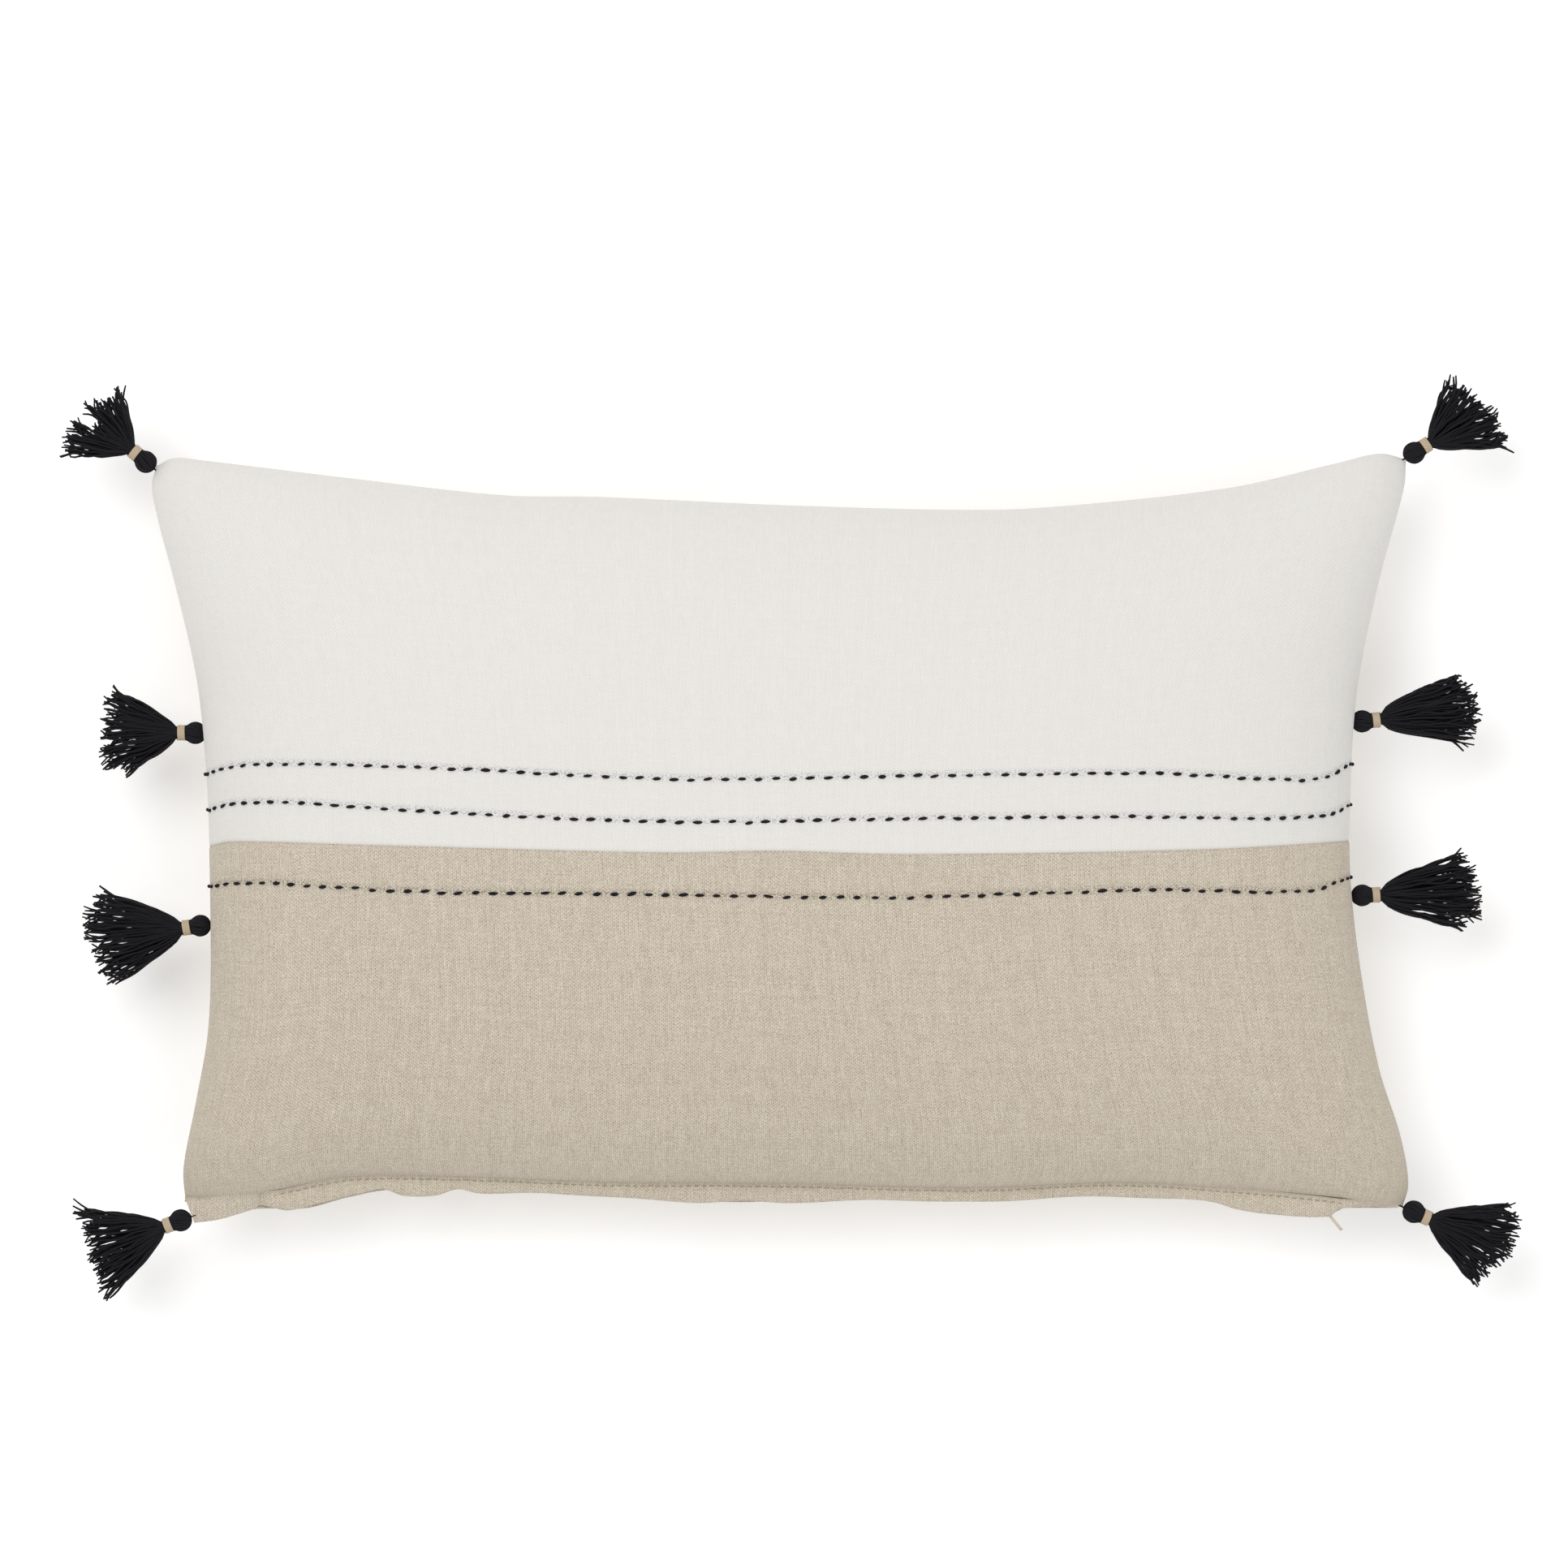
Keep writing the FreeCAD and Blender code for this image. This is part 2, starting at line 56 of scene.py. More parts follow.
# Cover
SEAM_Z = 48.0  # height of the seam between front and back
CROWN = 60.0
SIDE_FULLNESS = 5.0
TOP_FULLNESS = 2.6
CLOTH = 0.7
FLAT_SIZE = (533.0, 330.0)  # the cover laid flat
COLUMNS = 132  # these and the rows are the simulated cloth's
LINEN_ROWS = 38
WHITE_ROWS = 40
FINER = 2  # the drawn cover has this many times the simulated one's columns and rows
SIM_FRAMES = 20
SIM_CAP = 8.0  # how far the simulation may move a point from the smooth pillow
SEAM_TUCK = 1.0  # how deep the cloths turn in at the colour seam
RIM_TUCK = 0.8  # the same round the rim
FLOOR_BLEND = 3.0  # how softly the back turns up from where it lies

# The seam outline, as points along and across each side that a smooth curve joins.
TOP_EDGE = [(-269.5, 159.5), (-262, 163), (-246, 161.7), (-183, 154), (-120, 147), (-78, 146.3), (6, 142.5),
            (90, 140.7), (132, 143.2), (195, 150.5), (237, 160.3), (258, 165), (269.5, 162.5)]
BOTTOM_EDGE = [(-257, -157.5), (-225, -154.8), (-186, -147.3), (-143, -147), (-72, -149.5), (-9, -149.8),
               (83, -151.8), (146, -149.5), (202, -153), (239, -156.8), (255, -159.6), (268, -160)]
LEFT_EDGE = [(-157.5, -257), (-143, -257.8), (-115, -252.5), (-87, -247.5), (-60, -246), (-3, -246.6),
             (24, -247.6), (66, -251.8), (108, -261.3), (136, -268.8), (151, -271.5), (159.5, -269.5)]
RIGHT_EDGE = [(-160, 268), (-150, 270.5), (-129, 267), (-101, 258), (-59, 250), (-20, 245.5), (10, 245.2),
              (60, 248), (108, 257.4), (150, 268.6), (162.5, 269.5)]
COLOUR_SEAM = [(-245.5, -4.2), (-235, -2.3), (-179, -3.5), (-50, -6.7), (-3, -6), (55, -7.4), (180, -5.4),
               (245, -2.1)]
# Soft folds in the front: start x and y, end x and y, half width, height.
FOLDS = [(-218, 146, -209, 92, 5, 0.9), (-204, 150, -199, 112, 4, -0.6), (-236, 152, -226, 118, 5, 0.6),
         (158, 140, 166, 128, 3, 0.5), (170, 142, 180, 127, 3, 0.6), (184, 143, 195, 130, 3.5, 0.6),
         (205, 150, 214, 134, 4, -0.5), (-232, -140, -205, -118, 6, 0.7), (228, -138, 246, -96, 6, 0.7),
         (120, -146, 142, -133, 5, 0.5), (-190, -142, -160, -131, 5, 0.5), (-30, -146, 6, -140, 5, 0.5)]

# Zip lips: how far each one's edge stands out, as points that a smooth curve joins.
LIP_MIDDLE = 3.7  # from the seam plane to the middle of each lip
LIP_THICK = 1.2
LIP_CLOSED_MIDDLE = 0.9  # the same where the two lips are sewn together, towards the corners
OPENING = (-228.0, 251.0)  # where the gap between the lips starts and ends
CLOSING_LENGTH = 10.0  # over how much of each end it narrows
FRONT_LIP = [(-257, -166.6), (-242, -165), (-229, -161.6), (-224.5, -159.4), (-218, -160.4), (-212, -161.2),
             (-199, -158.4), (-180, -153.9), (-171, -152.2), (-163, -154.8), (-149, -154.9), (-139.5, -152.3),
             (-130, -154), (-108, -153.7), (-92, -154.6), (-67, -156), (-37, -158), (-16, -157.2), (1, -158),
             (40, -157), (87, -157.6), (131, -155.3), (160, -156.2), (184, -157.3), (197, -161.1),
             (210, -163), (236, -163.7), (241, -160.4), (266, -160.4)]
BACK_LIP = [(-257, -166), (-240, -164), (-226, -161), (-204, -160.6), (-187, -156), (-171, -152.6),
            (-141, -152.8), (-99, -154), (-57, -156.2), (-36, -157.8), (48, -157.2), (90, -157), (132, -155),
            (174, -156), (195, -159.6), (239, -162.3), (243, -160.7), (266, -160.2)]
LIP_ROOT = 0.9  # how far inside the seam a lip starts
LIP_ROOT_RISE = 1.5  # how much thicker it is there
LIP_DROOP = 0.7  # how much the two tips come together
LIP_SHARES = (0.0, 0.07, 0.15, 0.3, 0.5, 0.7, 0.86, 0.95)  # where a lip's cross-section has points
LIP_STATIONS = 520
LIP_CORNER = (-236, -257)  # over what stretch the lips' left ends slant in towards their tips
LIP_CORNER_SHIFT = 4.0  # and how far
LIP_FLUSH = ((-216, -226), (240, 250))  # where the front lip starts and ends being one with the panel
FLUSH_V = -0.987  # how high up the panel it then begins
FLUSH_SHIFT = 1.1  # how far its root moves up to get there
FLUSH_UNDER = 1.8  # and how far under the panel's face it stays
PLEAT_X = -224.5  # a small upright pinch in the front lip
PLEAT_DEPTH = 1.8
PLEAT_WIDTH = 0.8

# Thread
STITCH_PITCH = 7.35
STITCH_LENGTH = 3.7
STITCH_RADIUS = 0.7
ROWS = {
    "upper": [(-247, 26.6), (-234, 29.8), (-217, 30.8), (-155, 29.4), (-45, 24.5), (46, 25.6), (158, 26.8),
              (208, 24.5), (231, 24.9), (245, 31.2)],
    "middle": [(-245, 11.2), (-233, 14), (-212, 14.5), (-157, 11.2), (-50, 6.3), (48, 7.7), (160, 8.4),
               (210, 7.7), (233, 9.1), (244.5, 13.7)],
    "lower": [(-245.5, -21.7), (-233, -20), (-213, -20), (-160, -23.1), (-43, -24.5), (44, -25.6),
              (160, -22.4), (209, -23.5), (227, -22.6), (245, -17.5)],
}
TOPSTITCH_PITCH = 3.3
TOPSTITCH_LENGTH = 2.3
TOPSTITCH_RADIUS = 0.22
TOPSTITCH_FROM_SEAM = 1.1
TOPSTITCH_PUCKER = 0.35  # how deep the topstitching draws the lip in
# A stitch's outline: share of its length, height off the cloth and thickness, both in radii.
STITCH_PROFILE = [(-0.5, -0.6, 0.3), (-0.46, -0.1, 0.5), (-0.36, 0.25, 0.78), (-0.2, 0.45, 1.02),
                  (0, 0.5, 1.12), (0.2, 0.45, 1.02), (0.36, 0.25, 0.78), (0.46, -0.1, 0.5), (0.5, -0.6, 0.3)]

# Tassels: how the skirt opens (1 is a cone, less is a bell), then its locks of strands, each from one angle
# to another off the tassel's axis and reaching so far from the middle of the neck.
TASSELS = {
    "top_left": (0.85, [(12, 42, 31), (-1, 11, 21), (-9, -2, 30), (-16, -9, 27), (-30, -17, 25.5),
                        (-38, -31, 29)]),
    "upper_left": (0.78, [(-34, -20, 35), (-19, 8, 34), (9, 26, 35.5), (27, 37, 29)]),
    "lower_left": (0.72, [(-31, -20, 40.5), (-19, 2, 43.5), (3, 14, 41), (15, 31, 41)]),
    "bottom_left": (0.78, [(-30, -24, 40), (-23, -4, 36), (-3, 10, 36.5), (11, 21, 37), (22, 31, 41)]),
    "top_right": (0.8, [(36, 40, 31), (18, 34, 29.5), (0, 17, 30.5), (-22, -1, 34), (-33, -23, 36)]),
    "upper_right": (0.6, [(15, 24, 41), (4, 14, 43.5), (-9, 3, 44.5), (-18, -10, 42)]),
    "lower_right": (0.6, [(13, 22, 41.5), (2, 12, 43.5), (-9, 1, 45), (-16, -10, 45), (-24, -19, 40)]),
    "bottom_right": (0.75, [(29, 33, 37), (12, 27, 40), (-6, 11, 39.5), (-16, -7, 36.5), (-30, -17, 36)]),
}
STRANDS = 112
STRAND_RADIUS = 0.48
FAN_HALF_THICK = 4.3
HEAD_THREADS = 26
HEAD_THREAD_RADIUS = 0.66
HEAD_FROM_KNOT = 0.85
HEAD_RADIUS = 4.7
BINDING_START = 4.2  # from the head's centre
BINDING_LENGTH = 3.9
BINDING_RADIUS = 3.0
BINDING_THREAD = 0.42


def smooth(points, at):
    """The height at `at` of a smooth curve through points given as (along, height)."""
    last = len(points) - 2
    i = 0
    while i < last and at > points[i + 1][0]:
        i += 1
    (a, low), (b, high) = points[i], points[i + 1]

    def slope(k):
        before = points[max(k - 1, 0)]
        after = points[min(k + 1, len(points) - 1)]
        return (after[1] - before[1]) / (after[0] - before[0])

    span = b - a
    t = min(max((at - a) / span, 0.0), 1.0)
    rise = (t * t * (3 - 2 * t)) * (high - low)
    start = t * (1 - t) ** 2 * span * slope(i)
    end = t * t * (t - 1) * span * slope(i + 1)
    return low + rise + start + end


# Shapes gathered in millimetres


class Shape:
    """Points, faces and their cloth or thread coordinates, before they become one mesh."""

    def __init__(self):
        self.points = []
        self.faces = []
        self.places = []

    def grid(self, points, places, flip=False):
        """A sheet of quads. points and places are arrays of rows by columns."""
        rows, columns = points.shape[:2]
        first = len(self.points)
        self.points += [tuple(p) for p in points.reshape(-1, 3)]
        flat = places.reshape(-1, 2)
        for i in range(rows - 1):
            for j in range(columns - 1):
                k = i * columns + j
                corners = [k, k + columns, k + columns + 1, k + 1]
                if flip:
                    corners.reverse()
                self.faces.append([first + c for c in corners])
                self.places += [tuple(flat[c]) for c in corners]

    def tube(self, path, radii, sides=6, closed=False):
        """A round thread along path. radii is one number or one for each point."""
        path = [Vector(p) for p in path]
        count = len(path)
        if isinstance(radii, (int, float)):
            radii = [radii] * count
        first = len(self.points)
        normal = None
        walked = 0.0
        lengths = []
        for i, point in enumerate(path):
            ahead = path[(i + 1) % count] if closed else path[min(i + 1, count - 1)]
            behind = path[i - 1] if closed else path[max(i - 1, 0)]
            along = (ahead - behind).normalized()
            if normal is None:
                normal = along.orthogonal().normalized()
            normal = (normal - along * normal.dot(along)).normalized()
            side = along.cross(normal)
            for s in range(sides):
                turn = 2 * math.pi * s / sides
                rim = normal * math.cos(turn) + side * math.sin(turn)
                self.points.append(tuple(point + rim * radii[i]))
            lengths.append(walked)
            if i + 1 < count:
                walked += (path[i + 1] - point).length
        rings = count if closed else count - 1
        for i in range(rings):
            here = first + i * sides
            there = first + ((i + 1) % count) * sides
            for s in range(sides):
                t = (s + 1) % sides
                self.faces.append([here + s, here + t, there + t, there + s])
                start = lengths[i]
                end = lengths[i + 1] if i + 1 < count else walked
                around = [s / sides, (s + 1) / sides]
                self.places += [(start, around[0]), (start, around[1]), (end, around[1]), (end, around[0])]
        if not closed:
            self.cap([first + s for s in reversed(range(sides))])
            self.cap([first + (count - 1) * sides + s for s in range(sides)])

    def cap(self, corners):
        self.faces.append(corners)
        self.places += [(0.0, 0.0)] * len(corners)

    def piece(self, name, material, matrix=None, rows=None):
        """Makes the mesh object, in metres. rows(x, y) gives how far a point is from two stitched rows."""
        points = np.array(self.points) * MM
        if matrix is not None:
            rotation = np.array(matrix.to_3x3())
            points = points @ rotation.T + np.array(matrix.translation)
        mesh = bpy.data.meshes.new(name)
        mesh.from_pydata(points.tolist(), [], self.faces)
        layer = mesh.uv_layers.new(name="cloth")
        layer.data.foreach_set("uv", (np.array(self.places) * MM).ravel())
        if rows is not None:
            corners = np.zeros(len(mesh.loops), dtype=int)
            mesh.loops.foreach_get("vertex_index", corners)
            off = np.array([rows(x, y) for x, y, _ in self.points])[corners]
            mesh.uv_layers.new(name="rows").data.foreach_set("uv", (off * MM).ravel())
        mesh.polygons.foreach_set("use_smooth", [True] * len(mesh.polygons))
        mesh.materials.append(material)
        mesh.update()
        obj = bpy.data.objects.new(name, mesh)
        bpy.context.scene.collection.objects.link(obj)
        return obj


# Cover


def even_steps(fullness, half_width, count):
    """Values from -1 to 1 at even steps of arc along a profile that swells to the crown."""
    fine = np.sin(np.linspace(-math.pi / 2, math.pi / 2, 4001))
    height = CROWN * np.sqrt(np.maximum(1 - np.abs(fine) ** fullness, 0))
    steps = np.hypot(np.diff(fine * half_width), np.diff(height))
    walked = np.concatenate([[0], np.cumsum(steps)])
    return np.interp(np.linspace(0, walked[-1], count + 1), walked, fine)


def edge_points(u, v):
    """The four sides' places for (u, v): left and right x, low and high y."""
    s = (u + 1) / 2
    t = (v + 1) / 2
    left = smooth(LEFT_EDGE, LEFT_EDGE[0][0] + t * (LEFT_EDGE[-1][0] - LEFT_EDGE[0][0]))
    right = smooth(RIGHT_EDGE, RIGHT_EDGE[0][0] + t * (RIGHT_EDGE[-1][0] - RIGHT_EDGE[0][0]))
    low = smooth(BOTTOM_EDGE, BOTTOM_EDGE[0][0] + s * (BOTTOM_EDGE[-1][0] - BOTTOM_EDGE[0][0]))
    high = smooth(TOP_EDGE, TOP_EDGE[0][0] + s * (TOP_EDGE[-1][0] - TOP_EDGE[0][0]))
    return left, right, low, high


def cover_point(u, v, side, inset=0.0):
    """A point of the smooth pillow. side is 1 for the front and -1 for the back."""
    left, right, low, high = edge_points(u, v)
    x = left + inset + (u + 1) / 2 * (right - left - 2 * inset)
    y = low + inset + (v + 1) / 2 * (high - low - 2 * inset)
    swell = math.sqrt(max(1 - abs(u) ** SIDE_FULLNESS, 0) * max(1 - abs(v) ** TOP_FULLNESS, 0))
    return x, y, SEAM_Z + side * (CROWN - inset) * swell


def seam_share(u, heights):
    """How far up the front, as a share of its arc, the colour seam lies in column u."""
    low, high = 0.0, 1.0
    steps = np.linspace(0, 1, len(heights))
    for _ in range(24):
        middle = (low + high) / 2
        x, y, _ = cover_point(u, float(np.interp(middle, steps, heights)), 1)
        if y < smooth(COLOUR_SEAM, x):
            low = middle
        else:
            high = middle
    return (low + high) / 2


def smooth_grids():
    """The front and back as rows of points, and the front's flat-cloth height of each point."""
    across = even_steps(SIDE_FULLNESS, 245, COLUMNS)
    up = even_steps(TOP_FULLNESS, 146, 400)
    steps = np.linspace(0, 1, len(up))
    rows = LINEN_ROWS + WHITE_ROWS
    front = np.zeros((rows + 1, COLUMNS + 1, 3))
    back = np.zeros((rows + 1, COLUMNS + 1, 3))
    share = np.zeros((rows + 1, COLUMNS + 1))
    for j, u in enumerate(across):
        seam = seam_share(u, up)
        for i in range(rows + 1):
            if i <= LINEN_ROWS:
                along = seam * i / LINEN_ROWS
            else:
                along = seam + (1 - seam) * (i - LINEN_ROWS) / WHITE_ROWS
            v = float(np.interp(along, steps, up))
            share[i, j] = along
            front[i, j] = cover_point(u, v, 1)
            back[i, j] = cover_point(u, v, -1)
    back[[0, -1]] = front[[0, -1]]
    back[:, [0, -1]] = front[:, [0, -1]]
    return front, back, share


def simulated(front, back, share):
    """The same grids after the cover is blown up by cloth simulation from its flat cut."""
    rows, columns = front.shape[:2]
    front_index = np.arange(rows * columns).reshape(rows, columns)
    back_index = front_index.copy()
    inner = rows * columns + np.arange((rows - 2) * (columns - 2)).reshape(rows - 2, columns - 2)
    back_index[1:-1, 1:-1] = inner
    points = np.concatenate([front.reshape(-1, 3), back[1:-1, 1:-1].reshape(-1, 3)])
    flat = np.zeros((rows, columns, 3))
    flat[..., 0] = (np.linspace(0, 1, columns)[None, :] - 0.5) * FLAT_SIZE[0]
    flat[..., 1] = (share - 0.5) * FLAT_SIZE[1]
    flat_points = np.concatenate([flat.reshape(-1, 3), flat[1:-1, 1:-1].reshape(-1, 3)])
    faces = []
    for index, flip in ((front_index, True), (back_index, False)):
        a, b, c, d = index[:-1, :-1], index[1:, :-1], index[1:, 1:], index[:-1, 1:]
        quads = np.stack([a, b, c, d], -1).reshape(-1, 4)
        faces += (quads[:, ::-1] if flip else quads).tolist()
    mesh = bpy.data.meshes.new("cover_simulated")
    mesh.from_pydata((points * MM).tolist(), [], faces)
    obj = bpy.data.objects.new("cover_simulated", mesh)
    bpy.context.scene.collection.objects.link(obj)
    obj.shape_key_add(name="Basis")
    cut = obj.shape_key_add(name="flat_cut")
    cut.data.foreach_set("co", (flat_points * MM).ravel())
    cut.value = 0.0
    rim = np.concatenate([front_index[0], front_index[-1], front_index[:, 0], front_index[:, -1]])
    group = obj.vertex_groups.new(name="rim")
    group.add([int(i) for i in rim], 1.0, "REPLACE")
    cloth = obj.modifiers.new("Cloth", "CLOTH")
    settings = cloth.settings
    settings.quality = 6
    settings.mass = 0.2
    settings.tension_stiffness = 30
    settings.compression_stiffness = 30
    settings.shear_stiffness = 8
    settings.bending_stiffness = 1.5
    settings.use_pressure = True
    settings.uniform_pressure_force = 4
    settings.effector_weights.gravity = 0
    settings.vertex_group_mass = "rim"
    settings.rest_shape_key = cut
    cloth.point_cache.frame_start = 1
    cloth.point_cache.frame_end = SIM_FRAMES
    scene = bpy.context.scene
    for number in range(1, SIM_FRAMES + 1):
        scene.frame_set(number)
    settled = obj.evaluated_get(bpy.context.evaluated_depsgraph_get()).to_mesh()
    found = np.zeros(len(points) * 3)
    settled.vertices.foreach_get("co", found)
    moved = found.reshape(-1, 3) / MM - points
    bpy.data.objects.remove(obj)
    bpy.data.meshes.remove(mesh)
    scene.frame_set(1)
    length = np.linalg.norm(moved, axis=1, keepdims=True)
    moved *= np.minimum(1, SIM_CAP / np.maximum(length, 1e-9))
    points += moved
    return points[front_index], points[back_index]


def finer(grid, rows):
    """Catmull-Rom resampling of a grid's rows to a whole multiple of their number."""
    last = len(grid) - 1
    at = np.linspace(0, last, rows + 1)
    i = np.minimum(at.astype(int), last - 1)
    t = (at - i)[:, None, None]
    a, b, c, d = (grid[np.clip(i + k, 0, last)] for k in (-1, 0, 1, 2))
    return b + 0.5 * t * (c - a + t * (2 * a - 5 * b + 4 * c - d + t * (3 * (b - c) + d - a)))


def refined(grid):
    rows = (grid.shape[0] - 1) * FINER
    columns = (grid.shape[1] - 1) * FINER
    tall = finer(grid, rows)
    return finer(tall.transpose(1, 0, 2), columns).transpose(1, 0, 2)


def folded(grid):
    """The front with its soft folds raised out of it."""
    out = normals(grid)
    height = np.zeros(grid.shape[:2])
    for x0, y0, x1, y1, width, rise in FOLDS:
        along = np.array([x1 - x0, y1 - y0])
        length = np.linalg.norm(along)
        offset = grid[..., :2] - (x0, y0)
        share = offset @ along / length**2
        across = (offset[..., 0] * along[1] - offset[..., 1] * along[0]) / length
        ends = np.clip(1 - np.abs(2 * share - 1) ** 3, 0, 1) * (np.abs(2 * share - 1) < 1)
        height += rise * np.exp(-((across / width) ** 2)) * ends
    return grid + out * height[..., None]


def normals(grid):
    """Unit normals of a grid whose rows go up and whose columns go right, towards the viewer."""
    up = np.gradient(grid, axis=0)
    right = np.gradient(grid, axis=1)
    out = np.cross(right, up)
    return out / np.maximum(np.linalg.norm(out, axis=2, keepdims=True), 1e-9)


def tucked(grid, places, depth, inward):
    """Adds close rows at a grid's start that turn the cloth's edge down into a seam. inward is the
    direction to turn, an array like one row."""
    shares = [0.0, 0.16, 0.42, 0.75]
    sinks = [1.0, 0.42, 0.1, 0.01]
    rows = []
    marks = []
    for share, sink in zip(shares, sinks):
        rows.append(grid[0] + (grid[1] - grid[0]) * share + inward * depth * sink)
        marks.append(places[0] + (places[1] - places[0]) * share)
    return np.concatenate([np.array(rows), grid[1:]]), np.concatenate([np.array(marks), places[1:]])


def side_in(grid, places, depth, axis, end, inward):
    """tucked on any of a grid's four edges."""
    def turned(a):
        a = a.transpose(1, 0, 2) if axis else a
        return a[::-1] if end else a

    g, p = tucked(turned(grid), turned(places), depth, inward)
    g = g[::-1] if end else g
    p = p[::-1] if end else p
    return (g.transpose(1, 0, 2), p.transpose(1, 0, 2)) if axis else (g, p)


def panel(shape, grid, places, side):
    """A cloth panel with its thickness: an outer sheet, an inner sheet and the edge between."""
    out = normals(grid) * side
    inner = grid - out * CLOTH
    shape.grid(grid, places, flip=side > 0)
    shape.grid(inner, places, flip=side < 0)
    for a, b, p, flip in (
        (grid[0], inner[0], places[0], side > 0),
        (grid[-1], inner[-1], places[-1], side < 0),
        (grid[:, 0], inner[:, 0], places[:, 0], side < 0),
        (grid[:, -1], inner[:, -1], places[:, -1], side > 0),
    ):
        shape.grid(np.stack([b, a]), np.stack([p, p]), flip=flip)


def share_between(x, start, end):
    """How far x is from start to end, from 0 to 1."""
    return min(max((x - start) / (end - start), 0), 1)


def lip_opening(x):
    """How open the gap between the lips is: 0 sewn together, 1 open."""
    left = share_between(x, OPENING[0], OPENING[0] + CLOSING_LENGTH)
    right = share_between(x, OPENING[1], OPENING[1] - CLOSING_LENGTH)
    opened = min(left, right)
    return opened * opened * (3 - 2 * opened)


def lip_ring(x, edge, side, sway):
    """The ring of points across a lip at x: out along its outer face, round the fold and back."""
    root = smooth(BOTTOM_EDGE, x) + LIP_ROOT
    tip = smooth(edge, x) + 0.8 * sway
    middle = LIP_CLOSED_MIDDLE + (LIP_MIDDLE - LIP_CLOSED_MIDDLE) * lip_opening(x)
    half = min(LIP_THICK / 2, 0.3 * (root - tip))
    slant = LIP_CORNER_SHIFT * share_between(x, *LIP_CORNER)
    flush = 0.0
    pinch = 0.0
    if side > 0:
        flush = max(share_between(x, start, end) for start, end in LIP_FLUSH)
        pinch = PLEAT_DEPTH * math.exp(-(((x - PLEAT_X) / PLEAT_WIDTH) ** 2))
    wave = 0.5 + 0.5 * math.cos(2 * math.pi * x / TOPSTITCH_PITCH)
    pucker = TOPSTITCH_PUCKER * wave * (1 - flush)
    u = 2 * (x - BOTTOM_EDGE[0][0]) / (BOTTOM_EDGE[-1][0] - BOTTOM_EDGE[0][0]) - 1
    panel_rise = cover_point(u, FLUSH_V, 1)[2] - SEAM_Z - middle - half - FLUSH_UNDER

    def place(share, off, shift=0.0):
        y = root + (tip - root) * share + shift
        droop = LIP_DROOP * share_between(share, 0.6, 1)
        return x + slant * share, y, SEAM_Z + side * (middle + off - droop + 0.5 * sway * share)

    outer = []
    for share in LIP_SHARES:
        rise = LIP_ROOT_RISE * max(0, 1 - share / 0.2) ** 2
        rise -= pucker * max(0, 1 - abs(share - 0.1) / 0.12)
        rise += flush * max(panel_rise, 0) * (1 - share) ** 1.6 - pinch
        puff = half * (1 + 0.25 * math.sin(math.pi * share))
        outer.append(place(share, puff + rise, FLUSH_SHIFT * flush * (1 - share)))
    fold_z = SEAM_Z + side * (middle - LIP_DROOP + 0.5 * sway)
    turn = [(x + slant, tip - 0.2 * sway, fold_z + side * way * 0.35 * half) for way in (1, -1)]
    inner = [place(share, -half) for share in reversed(LIP_SHARES)]
    ring = outer + turn + inner
    return ring + ring[:1]


def lip(shape, edge, side, seed):
    """The folded edge of a panel beyond the seam: two layers of cloth that fold at the outer edge."""
    noise = random.Random(seed)
    waves = [(noise.uniform(0.05, 0.16), noise.uniform(0, 6.3), noise.uniform(0.12, 0.24)) for _ in range(5)]
    rows = []
    for x in np.linspace(edge[0][0], edge[-1][0], LIP_STATIONS):
        sway = sum(size * math.sin(rate * x + phase) for rate, phase, size in waves)
        rows.append(lip_ring(x, edge, side, sway))
    points = np.array(rows)
    places = np.zeros(points.shape[:2] + (2,))
    places[..., 0] = points[..., 0] + FLAT_SIZE[0] / 2
    around = np.linalg.norm(np.diff(points[..., 1:], axis=1), axis=2)
    places[:, 1:, 1] = np.cumsum(around, axis=1)
    shape.grid(points, -places, flip=side > 0)
    for row, reverse in ((0, side > 0), (-1, side < 0)):
        first = len(shape.points)
        ring = [tuple(p) for p in points[row][:-1]]
        shape.points += ring
        corners = [first + i for i in range(len(ring))]
        shape.cap(corners[::-1] if reverse else corners)


# Materials

COTTON = (0.768, 0.748, 0.713)
FLAX = (0.595, 0.523, 0.421)
TINT = (0.88, 1.0, 1.13)  # the dark threads are warmer: blue changes more from thread to thread than red
COTTON_WARP = 0.00086  # metres from one thread to the next
COTTON_WEFT = 0.0007
LINEN_WARP = 0.00082
LINEN_WEFT = 0.00065
TONE_RATES = (130, 150)  # how often a thread's tone changes, per metre: warp and weft
TONE_SPREAD = (7.3, 57)  # keeps any two threads' tones apart
STEADY_TONE = 0.12  # the share that stays the same along a thread
WANDER = (45, 0.0016)  # how often, per metre, and how far, in metres, threads wander
GROOVE_SHADE = 0.08  # painted shade: how dark the grooves between threads are
CROSSING_HIGHLIGHT = 0.12  # and how light a thread is where it comes over, a painted highlight
GRAIN = (1300, 1500)  # the finest specks, per metre
# Painted shade in the needle holes along the stitched rows, partly the dark thread seen through the opened
# weave
PIN_SHADE_SPECKS = (1150, 1400)  # specks of painted shade in the needle holes along the stitched rows, per metre
PIN_LEVEL = 0.53
PIN_SHADE_DARKNESS = 0.8
ROW_SHADE_REACH = 2.4  # how far from a stitched row the weave is opened and darkened with painted shade, mm
ROW_SHADE_ABOVE = 0.6  # how far above the row it is opened and shaded most
